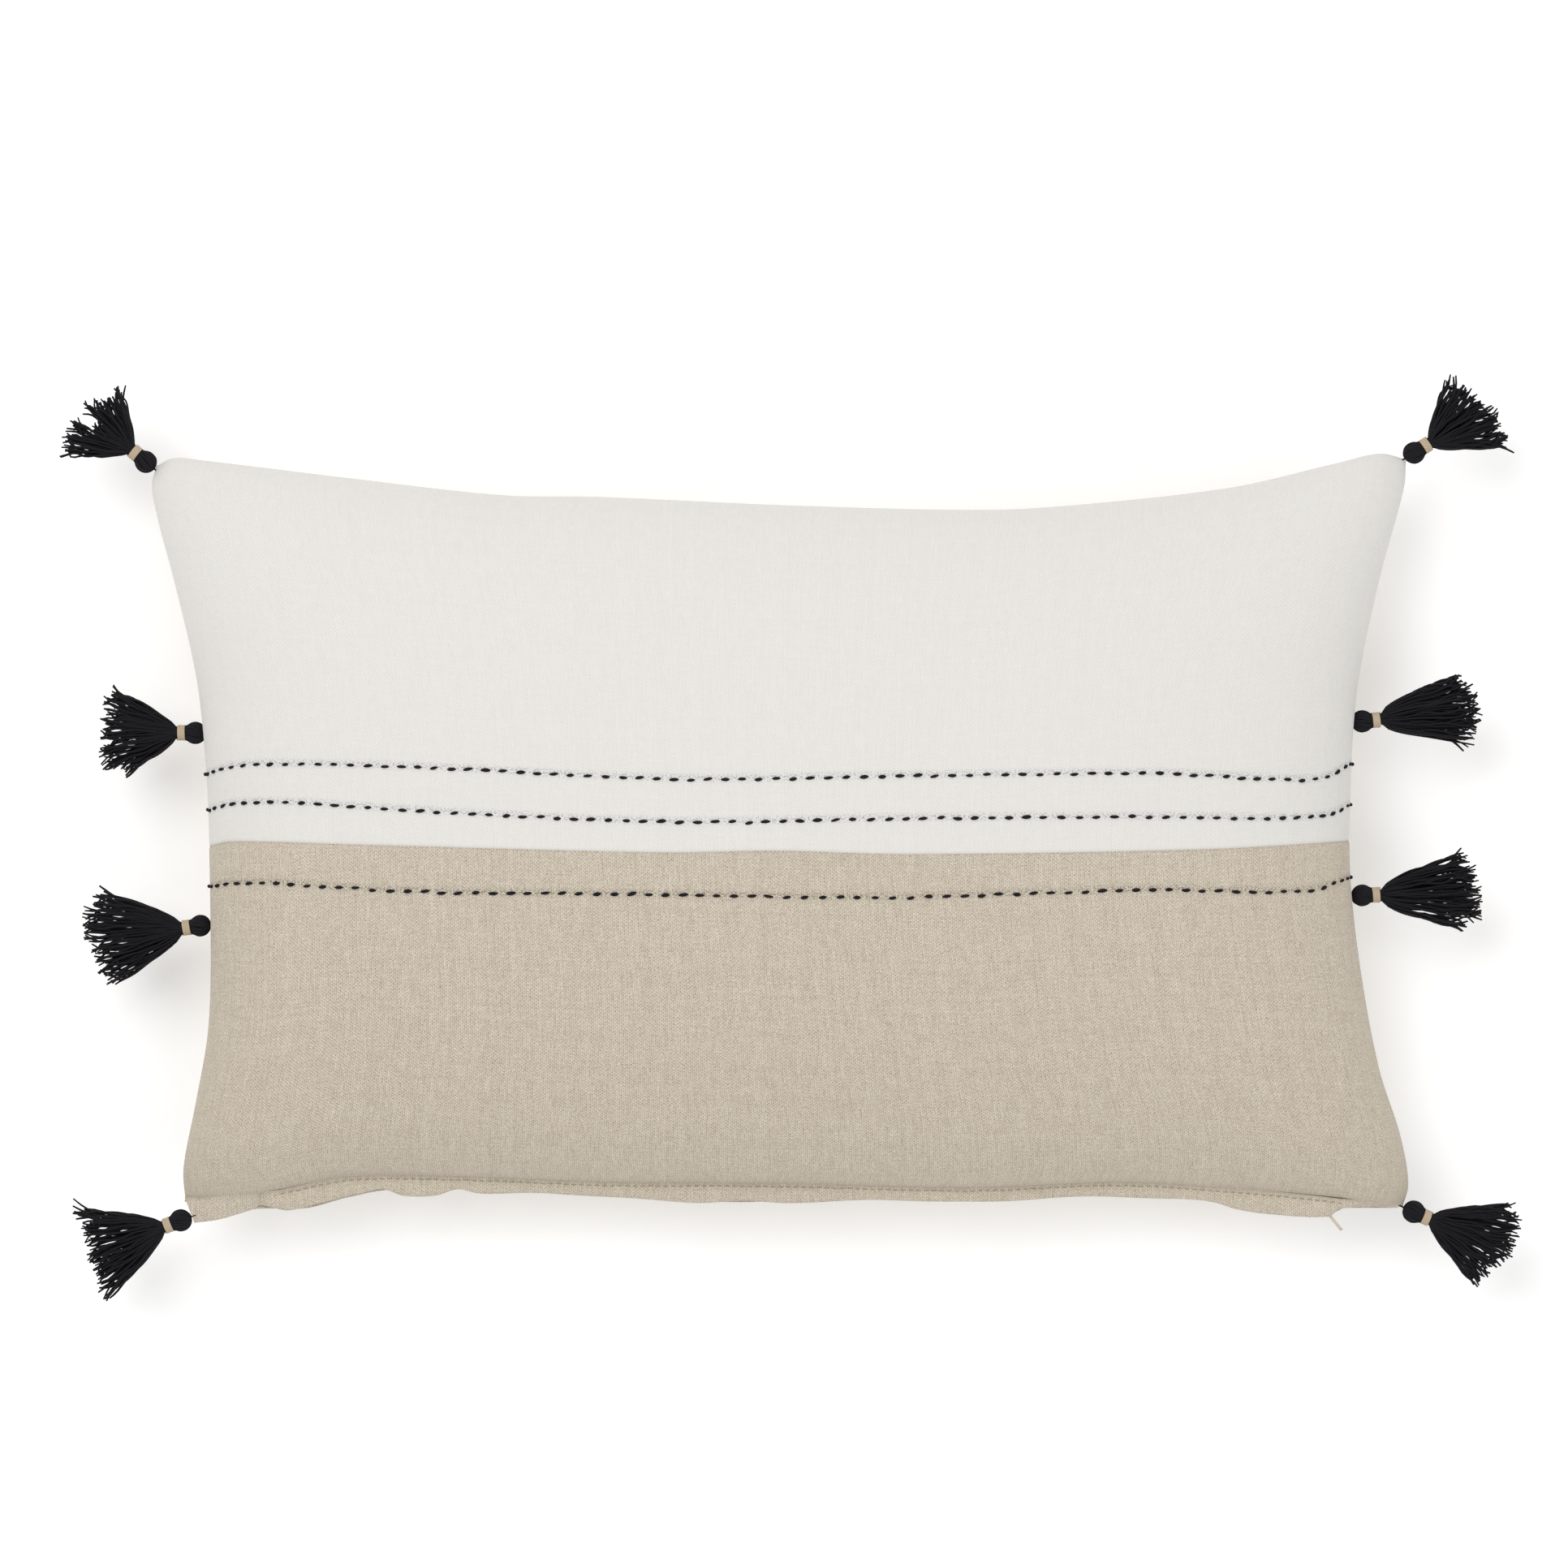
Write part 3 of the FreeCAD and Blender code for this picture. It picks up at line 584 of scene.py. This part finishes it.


class Nodes:
    """A short way to write a node material."""

    def __init__(self, name):
        self.material = bpy.data.materials.new(name)
        self.material.use_nodes = True
        self.tree = self.material.node_tree
        self.shader = self.tree.nodes["Principled BSDF"]

    def add(self, kind, **values):
        node = self.tree.nodes.new(kind)
        for key, value in values.items():
            setattr(node, key, value)
        return node

    def link(self, source, target):
        self.tree.links.new(source, target)

    def cloth(self, scale_x, scale_y):
        """The flat-cloth coordinates, stretched."""
        place = self.add("ShaderNodeUVMap", uv_map="cloth")
        mapping = self.add("ShaderNodeMapping")
        mapping.inputs["Scale"].default_value = (scale_x, scale_y, 1)
        self.link(place.outputs["UV"], mapping.inputs["Vector"])
        return mapping.outputs["Vector"]

    def noise(self, vector, scale=1.0, detail=2.0, rough=0.5):
        node = self.add("ShaderNodeTexNoise")
        node.inputs["Scale"].default_value = scale
        node.inputs["Detail"].default_value = detail
        node.inputs["Roughness"].default_value = rough
        if vector is not None:
            self.link(vector, node.inputs["Vector"])
        return node.outputs["Fac"]

    def math(self, kind, a, b):
        node = self.add("ShaderNodeMath", operation=kind)
        for socket, value in zip(node.inputs, (a, b)):
            if isinstance(value, (int, float)):
                socket.default_value = value
            else:
                self.link(value, socket)
        return node.outputs["Value"]

    def ramp(self, value, stops):
        node = self.add("ShaderNodeValToRGB")
        ramp = node.color_ramp
        while len(ramp.elements) < len(stops):
            ramp.elements.new(0.5)
        for element, (place, colour) in zip(ramp.elements, stops):
            element.position = place
            element.color = (*colour, 1)
        self.link(value, node.inputs["Fac"])
        return node.outputs["Color"]

    def finish(self, colour, height, distance, rough, sheen=0.0, strength=1.0):
        self.link(colour, self.shader.inputs["Base Color"])
        bump = self.add("ShaderNodeBump")
        bump.inputs["Strength"].default_value = strength
        bump.inputs["Distance"].default_value = distance
        self.link(height, bump.inputs["Height"])
        self.link(bump.outputs["Normal"], self.shader.inputs["Normal"])
        self.shader.inputs["Roughness"].default_value = rough
        self.shader.inputs["Sheen Weight"].default_value = sheen
        self.shader.inputs["Sheen Roughness"].default_value = 0.5
        return self.material


def thread_tones(n, across, along, pitch, rate, seed):
    """The tone of each thread of one direction, changing along it: thick, thin, dark and light stretches."""
    number = n.math("FLOOR", n.math("DIVIDE", across, pitch), 0)
    own = n.add("ShaderNodeTexWhiteNoise", noise_dimensions="1D")
    n.link(n.math("ADD", number, seed), own.inputs["W"])
    start = n.math("MULTIPLY", own.outputs["Value"], TONE_SPREAD[1])
    place = n.add("ShaderNodeCombineXYZ")
    n.link(n.math("MULTIPLY", number, TONE_SPREAD[0]), place.inputs["X"])
    n.link(n.math("ADD", n.math("MULTIPLY", along, rate), start), place.inputs["Y"])
    place.inputs["Z"].default_value = seed
    changing = n.math("SUBTRACT", n.noise(place.outputs["Vector"], 1, 3, 0.6), 0.5)
    steady = n.math("SUBTRACT", own.outputs["Value"], 0.5)
    return n.math("ADD", changing, n.math("MULTIPLY", steady, STEADY_TONE))


def woven(n, warp, weft, tone, grain):
    """How light each spot of a plain weave is, about 0.5, and its height. Threads run up and across the
    cloth, warp and weft apart in metres, over and under each other. tone is how much they differ from one
    another, and grain how much they change from spot to spot."""
    place = n.add("ShaderNodeUVMap", uv_map="cloth")
    split = n.add("ShaderNodeSeparateXYZ")
    n.link(place.outputs["UV"], split.inputs["Vector"])
    rate, reach = WANDER
    wander = n.math("MULTIPLY", n.math("SUBTRACT", n.noise(n.cloth(rate, rate), 1, 2), 0.5), reach)
    x = n.math("ADD", split.outputs["X"], wander)
    y = n.math("ADD", split.outputs["Y"], wander)
    lines = n.math("SINE", n.math("MULTIPLY", x, 2 * math.pi / warp), 0)
    over = n.math("MULTIPLY", n.math("SINE", n.math("MULTIPLY", x, math.pi / warp), 0),
                  n.math("SINE", n.math("MULTIPLY", y, math.pi / weft), 0))
    up = thread_tones(n, x, y, warp, TONE_RATES[0], 3)
    across = thread_tones(n, y, x, weft, TONE_RATES[1], 11)
    fine = n.math("SUBTRACT", n.noise(n.cloth(*GRAIN), 1, 2, 0.6), 0.5)
    # painted shade darkens the grooves between threads and a painted highlight lightens each crossing
    level = n.math("MULTIPLY", lines, GROOVE_SHADE)
    for value, share in ((over, CROSSING_HIGHLIGHT), (up, tone), (across, 0.7 * tone), (fine, grain)):
        level = n.math("ADD", level, n.math("MULTIPLY", value, share))
    return n.math("ADD", level, 0.5), n.math("ADD", over, n.math("MULTIPLY", lines, 0.5))


def row_shade_band(n):
    """1 along a row of hand stitching, where the needle opened the weave and shade is painted into it, and 0
    away from it.
    """
    place = n.add("ShaderNodeUVMap", uv_map="rows")
    split = n.add("ShaderNodeSeparateXYZ")
    n.link(place.outputs["UV"], split.inputs["Vector"])
    near = []
    for axis in ("X", "Y"):
        off = n.math("ABSOLUTE", n.math("SUBTRACT", split.outputs[axis], ROW_SHADE_ABOVE * MM), 0)
        near.append(n.math("MAXIMUM", n.math("SUBTRACT", 1, n.math("DIVIDE", off, ROW_SHADE_REACH * MM)), 0))
    return n.math("MAXIMUM", near[0], near[1])


def cloth_colour(n, level, mean, contrast, hole_shade):
    """The colour of woven cloth of a mean colour, with pin holes along the stitched rows darkened by painted
    shade and partly by the dark thread seen through.
    """
    dark = [c * (1 - contrast * share) for c, share in zip(mean, TINT)]
    light = [c * (1 + contrast * share) for c, share in zip(mean, TINT)]
    colour = n.ramp(level, [(0, dark), (1, light)])
    pin_shade = n.math("GREATER_THAN", n.noise(n.cloth(*PIN_SHADE_SPECKS), 1, 1), PIN_LEVEL)
    share = n.math("MULTIPLY", n.math("MULTIPLY", row_shade_band(n), pin_shade), PIN_SHADE_DARKNESS)
    mix = n.add("ShaderNodeMix", data_type="RGBA")
    n.link(share, mix.inputs["Factor"])
    n.link(colour, mix.inputs["A"])
    mix.inputs["B"].default_value = (*hole_shade, 1)
    return mix.outputs["Result"]


def cotton():
    n = Nodes("white_cotton")
    level, height = woven(n, COTTON_WARP, COTTON_WEFT, 0.24, 0.31)
    # the last colour is the painted shade in the pin holes
    colour = cloth_colour(n, level, COTTON, 0.2, (0.34, 0.36, 0.39))
    return n.finish(colour, n.math("ADD", height, n.math("MULTIPLY", level, 2)), 0.00006, 0.92, 0.1, 0.5)


def linen():
    n = Nodes("oatmeal_linen")
    level, height = woven(n, LINEN_WARP, LINEN_WEFT, 0.36, 0.95)
    # the last colour is the painted shade in the pin holes
    colour = cloth_colour(n, level, FLAX, 0.66, (0.22, 0.18, 0.13))
    return n.finish(colour, n.math("ADD", height, n.math("MULTIPLY", level, 3)), 0.0001, 0.95, 0.08, 0.7)


def thread(name, dark, light, shine, twist=1.0):
    """Twisted thread: the plies show as slanting grooves, in the bump and as painted shade in the colour."""
    n = Nodes(name)
    place = n.add("ShaderNodeUVMap", uv_map="cloth")
    split = n.add("ShaderNodeSeparateXYZ")
    n.link(place.outputs["UV"], split.inputs["Vector"])
    along = n.math("MULTIPLY", split.outputs["X"], 650 * twist)
    around = n.math("MULTIPLY", split.outputs["Y"], 1000)
    turn = n.math("MULTIPLY", n.math("ADD", along, around), 2 * math.pi * 2)
    plies = n.math("SINE", turn, 0)
    spots = n.noise(None, 400, 2, 0.6)
    # painted shade in the grooves between plies and a painted highlight on their crests
    level = n.math("ADD", n.math("MULTIPLY", plies, 0.22), spots)
    colour = n.ramp(level, [(0.3, dark), (0.75, light)])
    n.shader.inputs["Specular IOR Level"].default_value = shine
    return n.finish(colour, plies, 0.00012, 0.75, 0, 0.6)


def plain_material(name, dark, light, scale, rough, metal=0.0):
    """A finish with fine mottling for the small hard parts and hidden cloths."""
    n = Nodes(name)
    spots = n.noise(None, scale, 3, 0.6)
    colour = n.ramp(spots, [(0.35, dark), (0.65, light)])
    n.shader.inputs["Metallic"].default_value = metal
    return n.finish(colour, spots, 0.0002, rough, 0.0, 0.3)


def tape_material(name):
    n = Nodes(name)
    wave = n.add("ShaderNodeTexWave", wave_type="BANDS", bands_direction="DIAGONAL")
    wave.inputs["Scale"].default_value = 500
    place = n.add("ShaderNodeTexCoord")
    n.link(place.outputs["Object"], wave.inputs["Vector"])
    colour = n.ramp(wave.outputs["Fac"], [(0.2, (0.42, 0.36, 0.27)), (0.8, (0.60, 0.53, 0.42))])
    return n.finish(colour, wave.outputs["Fac"], 0.0002, 0.8, 0.1, 0.5)


WHITE = cotton()
LINEN = linen()
BLACK = thread("black_thread", (0.0045, 0.0043, 0.0053), (0.024, 0.0228, 0.028), 0.12)
TAN = thread("tan_thread", (0.42, 0.32, 0.21), (0.74, 0.62, 0.46), 0.2)
BEIGE = thread("beige_thread", (0.34, 0.29, 0.21), (0.52, 0.46, 0.36), 0.2)
LINING = plain_material("insert_lining", (0.74, 0.74, 0.72), (0.84, 0.84, 0.82), 900, 0.9)
FIBRE = plain_material("polyester_fibre", (0.78, 0.78, 0.78), (0.92, 0.92, 0.92), 160, 1.0)
TAPE = tape_material("zip_tape")
COIL = plain_material("zip_coil", (0.48, 0.42, 0.32), (0.58, 0.51, 0.40), 700, 0.4)
ENAMEL = plain_material("zip_enamel", (0.55, 0.47, 0.36), (0.63, 0.55, 0.43), 500, 0.35, 0.1)


# Pieces


def done(obj, body, slot, *nodes):
    """Places a finished piece on its body and over its CAD nodes, which it hides. slot is not used."""
    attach(obj, body)
    if nodes:
        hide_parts(*nodes)
    return obj


def make_cover():
    front, back, share = smooth_grids()
    front, back = simulated(front, back, share)
    low = back[..., 2].copy()
    back[1:-1, 1:-1, 2] = (0.5 * (low + np.sqrt(low**2 + FLOOR_BLEND**2)))[1:-1, 1:-1]
    places = np.zeros(share.shape + (3,))
    places[..., 0] = np.linspace(0, FLAT_SIZE[0], COLUMNS + 1)[None, :]
    places[..., 1] = share * FLAT_SIZE[1]
    places = refined(places)[..., :2]
    front, back = folded(refined(front)), refined(back)
    seam = LINEN_ROWS * FINER
    middle = np.array([0.0, 0.0, SEAM_Z])
    down = -normals(front)[seam]

    def to_middle(edge, axis):
        way = np.zeros_like(edge)
        way[:, axis] = -np.sign(edge[:, axis] - middle[axis])
        return way

    def rim_tucks(grid, places, edges):
        for axis, end in edges:
            edge = grid[:, -1 if end else 0] if axis else grid[-1 if end else 0]
            grid, places = side_in(grid, places, RIM_TUCK, axis, end, to_middle(edge, 1 - axis))
        return grid, places

    linen_grid, linen_places = front[: seam + 1], places[: seam + 1]
    linen_grid, linen_places = side_in(linen_grid, linen_places, SEAM_TUCK, 0, True, down)
    linen_grid, linen_places = rim_tucks(linen_grid, linen_places, ((0, False), (1, False), (1, True)))
    white_grid, white_places = front[seam:], places[seam:]
    white_grid, white_places = side_in(white_grid, white_places, SEAM_TUCK, 0, False, down)
    white_grid, white_places = rim_tucks(white_grid, white_places, ((0, True), (1, False), (1, True)))
    back_grid, back_places = rim_tucks(back, places, ((0, False), (0, True), (1, False), (1, True)))

    white = Shape()
    panel(white, white_grid, white_places, 1)
    linen_shape = Shape()
    panel(linen_shape, linen_grid, linen_places, 1)
    lip(linen_shape, FRONT_LIP, 1, 3)
    behind = Shape()
    panel(behind, back_grid, back_places, -1)
    lip(behind, BACK_LIP, -1, 8)
    for shape, material, slot, node, rows in (
        (white, WHITE, "white_cotton", "front_panel_white", ("upper", "middle")),
        (linen_shape, LINEN, "oatmeal_linen", "front_panel_linen", ("lower", "lower")),
        (behind, LINEN, "oatmeal_linen", "back_panel", None),
    ):
        cloth = shape.piece(f"{node}_cloth", material, rows=row_distances(rows))
        done(cloth, "cushion", slot, node)
    return front


def row_distances(rows):
    """A function that gives how far a point lies above each of two stitched rows."""
    if rows is None:
        return lambda x, y: (FLAT_SIZE[1], FLAT_SIZE[1])
    return lambda x, y: tuple(y - smooth(ROWS[row], x) for row in rows)


LINING_INSET = 7.0
FIBRE_INSET = 9.5
LINING_THICK = 0.5


def make_insert():
    """The bag of fibre inside the cover: two lining panels and the fibre itself."""
    across = even_steps(SIDE_FULLNESS, 245, 48)
    up = even_steps(TOP_FULLNESS, 146, 30)
    for name, inset, material, slot, sides, nodes in (
        ("insert_front", LINING_INSET, LINING, "insert_lining", (1,), ("insert_panel_front",)),
        ("insert_back", LINING_INSET, LINING, "insert_lining", (-1,), ("insert_panel_back",)),
        ("fibre", FIBRE_INSET, FIBRE, "fibre", (1, -1), ("fibre_fill",)),
    ):
        shape = Shape()
        for side in sides:
            grid = np.array([[cover_point(u, v, side, inset) for u in across] for v in up])
            grid[..., 1] += 8 * np.clip((-90 - grid[..., 1]) / 60, 0, 1)
            grid[..., 2] = np.maximum(grid[..., 2], inset * 0.35)
            shape.grid(grid, grid[..., :2], flip=side > 0)
            if len(sides) == 1:
                inner = grid - normals(grid) * side * LINING_THICK
                shape.grid(inner, grid[..., :2], flip=side < 0)
        done(shape.piece(name, material), "cushion", slot, *nodes)


def front_at(front, column, height):
    """The point and frame of the front at a column, at the height in plan that height(x) gives."""
    j = min(int(column), front.shape[1] - 2)
    t = column - j
    line = front[:, j] * (1 - t) + front[:, j + 1] * t
    wanted = np.array([height(x) for x in line[:, 0]])
    k = int(np.argmax(line[:, 1] - wanted > 0))
    a, b = line[k - 1], line[k]
    share = (wanted[k - 1] - a[1]) / (b[1] - a[1])
    return Vector(a + (b - a) * share), Vector(b - a).normalized()


def thread_stitch(shape, middle, along, normal, length, radius, noise):
    """One stitch: it rises from the cloth, lies along it and goes back in."""
    side = normal.cross(along)
    path = []
    radii = []
    bow = noise.uniform(-0.12, 0.12)
    thick_end = noise.uniform(-0.2, 0.2)
    for share, lift, size in STITCH_PROFILE:
        sideways = side * bow * (1 - 4 * share * share)
        path.append(middle + along * share * length + normal * lift * radius + sideways)
        radii.append(radius * size * (1 + thick_end * share))
    shape.tube(path, radii, 8)


def make_running_stitches(front):
    columns = front.shape[1] - 1
    for number, (row, points) in enumerate(ROWS.items()):
        noise = random.Random(40 + number)
        shape = Shape()
        path = []
        for step in range(0, columns * 4 + 1):
            point, up = front_at(front, step / 4, lambda x: smooth(points, x))
            path.append((point, up))
        walked = 0.0
        wanted = STITCH_PITCH * noise.uniform(0.3, 0.7)
        for (here, up), (there, _) in zip(path, path[1:]):
            step = (there - here).length
            if walked + step >= wanted:
                along = (there - here).normalized()
                normal = along.cross(up).normalized()
                middle = here + along * (wanted - walked)
                tilt = noise.gauss(0.09, 0.07)
                turned = (along + normal.cross(along) * tilt).normalized()
                offset = normal.cross(along) * noise.gauss(0, 0.18)
                length = STITCH_LENGTH * noise.uniform(0.78, 1.1)
                radius = STITCH_RADIUS * noise.uniform(0.82, 1.12)
                thread_stitch(shape, middle + offset, turned, normal, length, radius, noise)
                wanted += STITCH_PITCH * noise.uniform(0.94, 1.06)
            walked += step
        done(shape.piece(f"running_stitch_{row}", BLACK), "cushion", "black_thread", f"stitch_row_{row}")


def make_topstitch():
    noise = random.Random(7)
    shape = Shape()
    x = OPENING[0] + CLOSING_LENGTH
    while x < OPENING[1] - CLOSING_LENGTH:
        y = smooth(BOTTOM_EDGE, x) - TOPSTITCH_FROM_SEAM
        ahead = smooth(BOTTOM_EDGE, x + 1) - TOPSTITCH_FROM_SEAM
        along = Vector((1, ahead - y, 0)).normalized()
        middle = Vector((x, y, SEAM_Z + LIP_MIDDLE + LIP_THICK / 2 + 0.12))
        thread_stitch(shape, middle, along, Vector((0, 0, 1)), TOPSTITCH_LENGTH, TOPSTITCH_RADIUS, noise)
        x += TOPSTITCH_PITCH
    done(shape.piece("zip_lip_topstitch", BEIGE), "cushion", "linen_thread", "zip_topstitch")


COIL_PITCH = 1.5
COIL_HALF_DEPTH = 0.5
COIL_HALF_HEIGHT = 0.55
COIL_WIRE = 0.24


def make_coils():
    """The nylon coils of the zip, wound round the CAD bars' own length."""
    for half, sign in (("front", 1), ("back", -1)):
        low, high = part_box(f"zip_coil_{half}")
        x0, x1 = low.x / MM, high.x / MM
        y = (low.y + high.y) / 2 / MM
        z = (low.z + high.z) / 2 / MM
        shape = Shape()
        turns = int((x1 - x0) / COIL_PITCH)
        path = []
        for i in range(turns * 8 + 1):
            a = 2 * math.pi * i / 8
            x = x0 + (x1 - x0) * i / (turns * 8)
            path.append((x, y + COIL_HALF_DEPTH * math.cos(a), z + sign * COIL_HALF_HEIGHT * math.sin(a)))
        shape.tube(path, COIL_WIRE, 5)
        done(shape.piece(f"zip_coil_{half}_turns", COIL), "cushion", "zip_coil", f"zip_coil_{half}")


# Tassels


def joint_place(name):
    for joint in frame["joints"]:
        if joint["name"] == name:
            return Vector(joint["pos_m"])
    raise KeyError(name)


def tassel_frame(name):
    """The tassel's own frame, its origin at the loop's outer end and +X along it."""
    root = joint_place(f"tassel_{name}_sway")
    knot = joint_place(f"tassel_{name}_swing")
    out = (knot - root).normalized()
    up = Vector((0, 0, 1))
    side = up.cross(out)
    matrix = Matrix((out, side, up)).transposed().to_4x4()
    matrix.translation = knot
    return matrix


def head_strands(shape, noise):
    """The folded strands of the head: threads that run over a ball from the loop to the neck."""
    core = HEAD_RADIUS - 1.0
    rows = []
    for i in range(13):
        a = math.pi * i / 12
        x = HEAD_FROM_KNOT - core * math.cos(a)
        r = core * math.sin(a)
        rows.append([(x, r * math.cos(b), r * math.sin(b)) for b in np.linspace(0, 2 * math.pi, 17)])
    ball = np.array(rows)
    shape.grid(ball, ball[..., :2])
    for k in range(HEAD_THREADS):
        b = 2 * math.pi * (k + noise.uniform(-0.3, 0.3)) / HEAD_THREADS
        twist = noise.uniform(0.1, 0.4)
        size = HEAD_RADIUS - 0.62 + noise.uniform(-0.15, 0.25)
        path = []
        for i in range(12):
            a = math.radians(12 + 132 * i / 11)
            turn = b + twist * (a - 1.2)
            wide = size * math.sin(a) + (0.35 if i == 11 else 0)
            path.append((HEAD_FROM_KNOT - size * math.cos(a), wide * math.cos(turn), wide * math.sin(turn)))
        path.append((HEAD_FROM_KNOT + BINDING_START + 1.0, 2.3 * math.cos(b + 0.2), 2.3 * math.sin(b + 0.2)))
        shape.tube(path, HEAD_THREAD_RADIUS, 6)


def skirt_strands(shape, opening, locks, noise):
    """The loose strands: they leave the neck together, spread into a flat fan in locks of about one
    length each, and end unevenly."""
    start = HEAD_FROM_KNOT + BINDING_START - 0.4
    middle = HEAD_FROM_KNOT + BINDING_START + BINDING_LENGTH / 2
    skirt = HEAD_FROM_KNOT + BINDING_START + BINDING_LENGTH + 0.4
    spans = [high - low + 3 for low, high, _ in locks]
    widest = max(abs(edge) for low, high, _ in locks for edge in (low, high))
    for (low, high, length), span in zip(locks, spans):
        count = max(4, round(STRANDS * span / sum(spans)))
        for k in range(count):
            share = (k + noise.uniform(0.1, 0.9)) / count
            angle = math.radians(low + (high - low) * share)
            spread = math.degrees(angle) / widest
            layer = noise.uniform(-1, 1)
            neck = 2.5 * math.sqrt(noise.uniform(0.1, 1))
            neck_y = neck * max(-1, min(1, spread + noise.uniform(-0.3, 0.3)))
            neck_z = math.sqrt(max(neck * neck - neck_y * neck_y, 0)) * (1 if layer > 0 else -1)
            reach = length * noise.uniform(0.9, 1.03)
            tip_x = middle + reach * math.cos(angle) - skirt
            tip_y = reach * math.sin(angle)
            wave = noise.uniform(0.4, 1.3)
            rate = noise.uniform(0.9, 2.4)
            phase = noise.uniform(0, 6.28)
            curl = noise.gauss(0, 1.6)
            path = [(start, neck_y, neck_z), ((start + skirt) / 2, neck_y, neck_z), (skirt, neck_y, neck_z)]
            for i in range(1, 15):
                s = i / 14
                y = neck_y * (1 - s) + tip_y * s**opening
                z = neck_z * (1 - s) + FAN_HALF_THICK * layer * min(1, 1.8 * s) * (1 - 0.35 * s)
                y += wave * s * math.sin(6.28 * rate * s + phase) + curl * max(0, s - 0.8) ** 2 * 25
                z += 0.5 * wave * s * math.cos(5.3 * rate * s + 1.7 * phase)
                path.append((skirt + tip_x * s, y, z))
            radius = STRAND_RADIUS * noise.uniform(0.85, 1.15)
            shape.tube(path, [radius] * (len(path) - 2) + [radius * 0.95, radius * 0.75], 5)


def make_binding(name, matrix, noise):
    """Tan thread wound round the neck."""
    shape = Shape()
    turns = 5
    start = HEAD_FROM_KNOT + BINDING_START + BINDING_THREAD
    pitch = (BINDING_LENGTH - 2 * BINDING_THREAD) / turns
    path = []
    steps = 20
    for i in range(turns * steps + 1):
        a = 2 * math.pi * i / steps
        wobble = 0.06 * math.sin(a * 0.37) + noise.uniform(-0.02, 0.02)
        r = BINDING_RADIUS + wobble
        path.append((start + pitch * i / steps, r * math.cos(a), r * math.sin(a)))
    shape.tube(path, BINDING_THREAD, 7)
    piece = shape.piece(f"tassel_{name}_binding_thread", TAN, matrix)
    done(piece, f"tassel_{name}", "tan_thread", f"tassel_{name}_binding")


def make_tassels():
    for number, (name, (opening, locks)) in enumerate(TASSELS.items()):
        noise = random.Random(100 + number)
        matrix = tassel_frame(name)
        shape = Shape()
        head_strands(shape, noise)
        skirt_strands(shape, opening, locks, noise)
        piece = shape.piece(f"tassel_{name}_yarn", BLACK, matrix)
        done(piece, f"tassel_{name}", "black_thread", f"tassel_{name}_strands")
        make_binding(name, matrix, noise)


# CAD pieces that stay


def paint_kept():
    finishes = {
        "zip_tape_front": TAPE, "zip_tape_back": TAPE, "zip_end_stops": ENAMEL, "zip_slider": ENAMEL,
        "zip_pull_tab": ENAMEL, "tassel_anchor_stitches": BLACK,
    }
    for name in TASSELS:
        finishes[f"tassel_{name}_loop"] = BLACK
    for node, material in finishes.items():
        obj = frame["nodes"][node]
        obj.data.materials.clear()
        obj.data.materials.append(material)


# Studio

PICTURE_WIDTH = 676.2  # what the frame spans at the seam plane
CAMERA_HEIGHT = 3000.0
CAMERA_X = 1.2
CAMERA_Y = 22.4
WORLD_STRENGTH = 0.62
LAMPS = (("key", (-0.9, 0.9, 2.6), 1.6, 30), ("fill", (1.4, -0.6, 2.2), 2.0, 12))  # name, place, size, watts
FLOOR_HALF_SIZE = 4000.0
FLOOR_TONES = (0.93, 0.95)
FLOOR_GLOW = 0.2
FLOOR_DROP = 0.0003  # metres under the part


def make_studio():
    data = bpy.data.cameras.new("camera")
    data.sensor_width = 36
    data.lens = 36 * CAMERA_HEIGHT / PICTURE_WIDTH
    data.clip_end = 20
    camera = bpy.data.objects.new("camera", data)
    camera.location = (CAMERA_X * MM, CAMERA_Y * MM, (SEAM_Z + CAMERA_HEIGHT) * MM)
    bpy.context.scene.collection.objects.link(camera)
    bpy.context.scene.camera = camera

    world = bpy.data.worlds.new("studio")
    world.use_nodes = True
    world.node_tree.nodes["Background"].inputs["Color"].default_value = (1, 1, 1, 1)
    world.node_tree.nodes["Background"].inputs["Strength"].default_value = WORLD_STRENGTH
    bpy.context.scene.world = world

    for name, place, size, power in LAMPS:
        light = bpy.data.lights.new(name, "AREA")
        light.size = size
        light.energy = power
        lamp = bpy.data.objects.new(name, light)
        lamp.location = place
        lamp.rotation_euler = (-Vector(place)).to_track_quat("-Z", "Y").to_euler()
        bpy.context.scene.collection.objects.link(lamp)

    shape = Shape()
    far = FLOOR_HALF_SIZE
    corners = np.array([[(-far, -far, 0), (-far, far, 0)], [(far, -far, 0), (far, far, 0)]], float)
    shape.grid(corners, corners[..., :2], flip=False)
    n = Nodes("studio_floor")
    pale = n.ramp(n.noise(None, 3, 1, 0.5), [(i, (tone,) * 3) for i, tone in enumerate(FLOOR_TONES)])
    n.link(pale, n.shader.inputs["Base Color"])
    n.shader.inputs["Roughness"].default_value = 0.9
    n.shader.inputs["Emission Color"].default_value = (1, 1, 1, 1)
    n.shader.inputs["Emission Strength"].default_value = FLOOR_GLOW
    floor = shape.piece("floor", n.material)
    floor.location.z = -FLOOR_DROP
    bpy.context.scene.view_settings.view_transform = "Standard"


make_studio()
front_grid = make_cover()
make_insert()
make_running_stitches(front_grid)
make_topstitch()
make_coils()
make_tassels()
paint_kept()
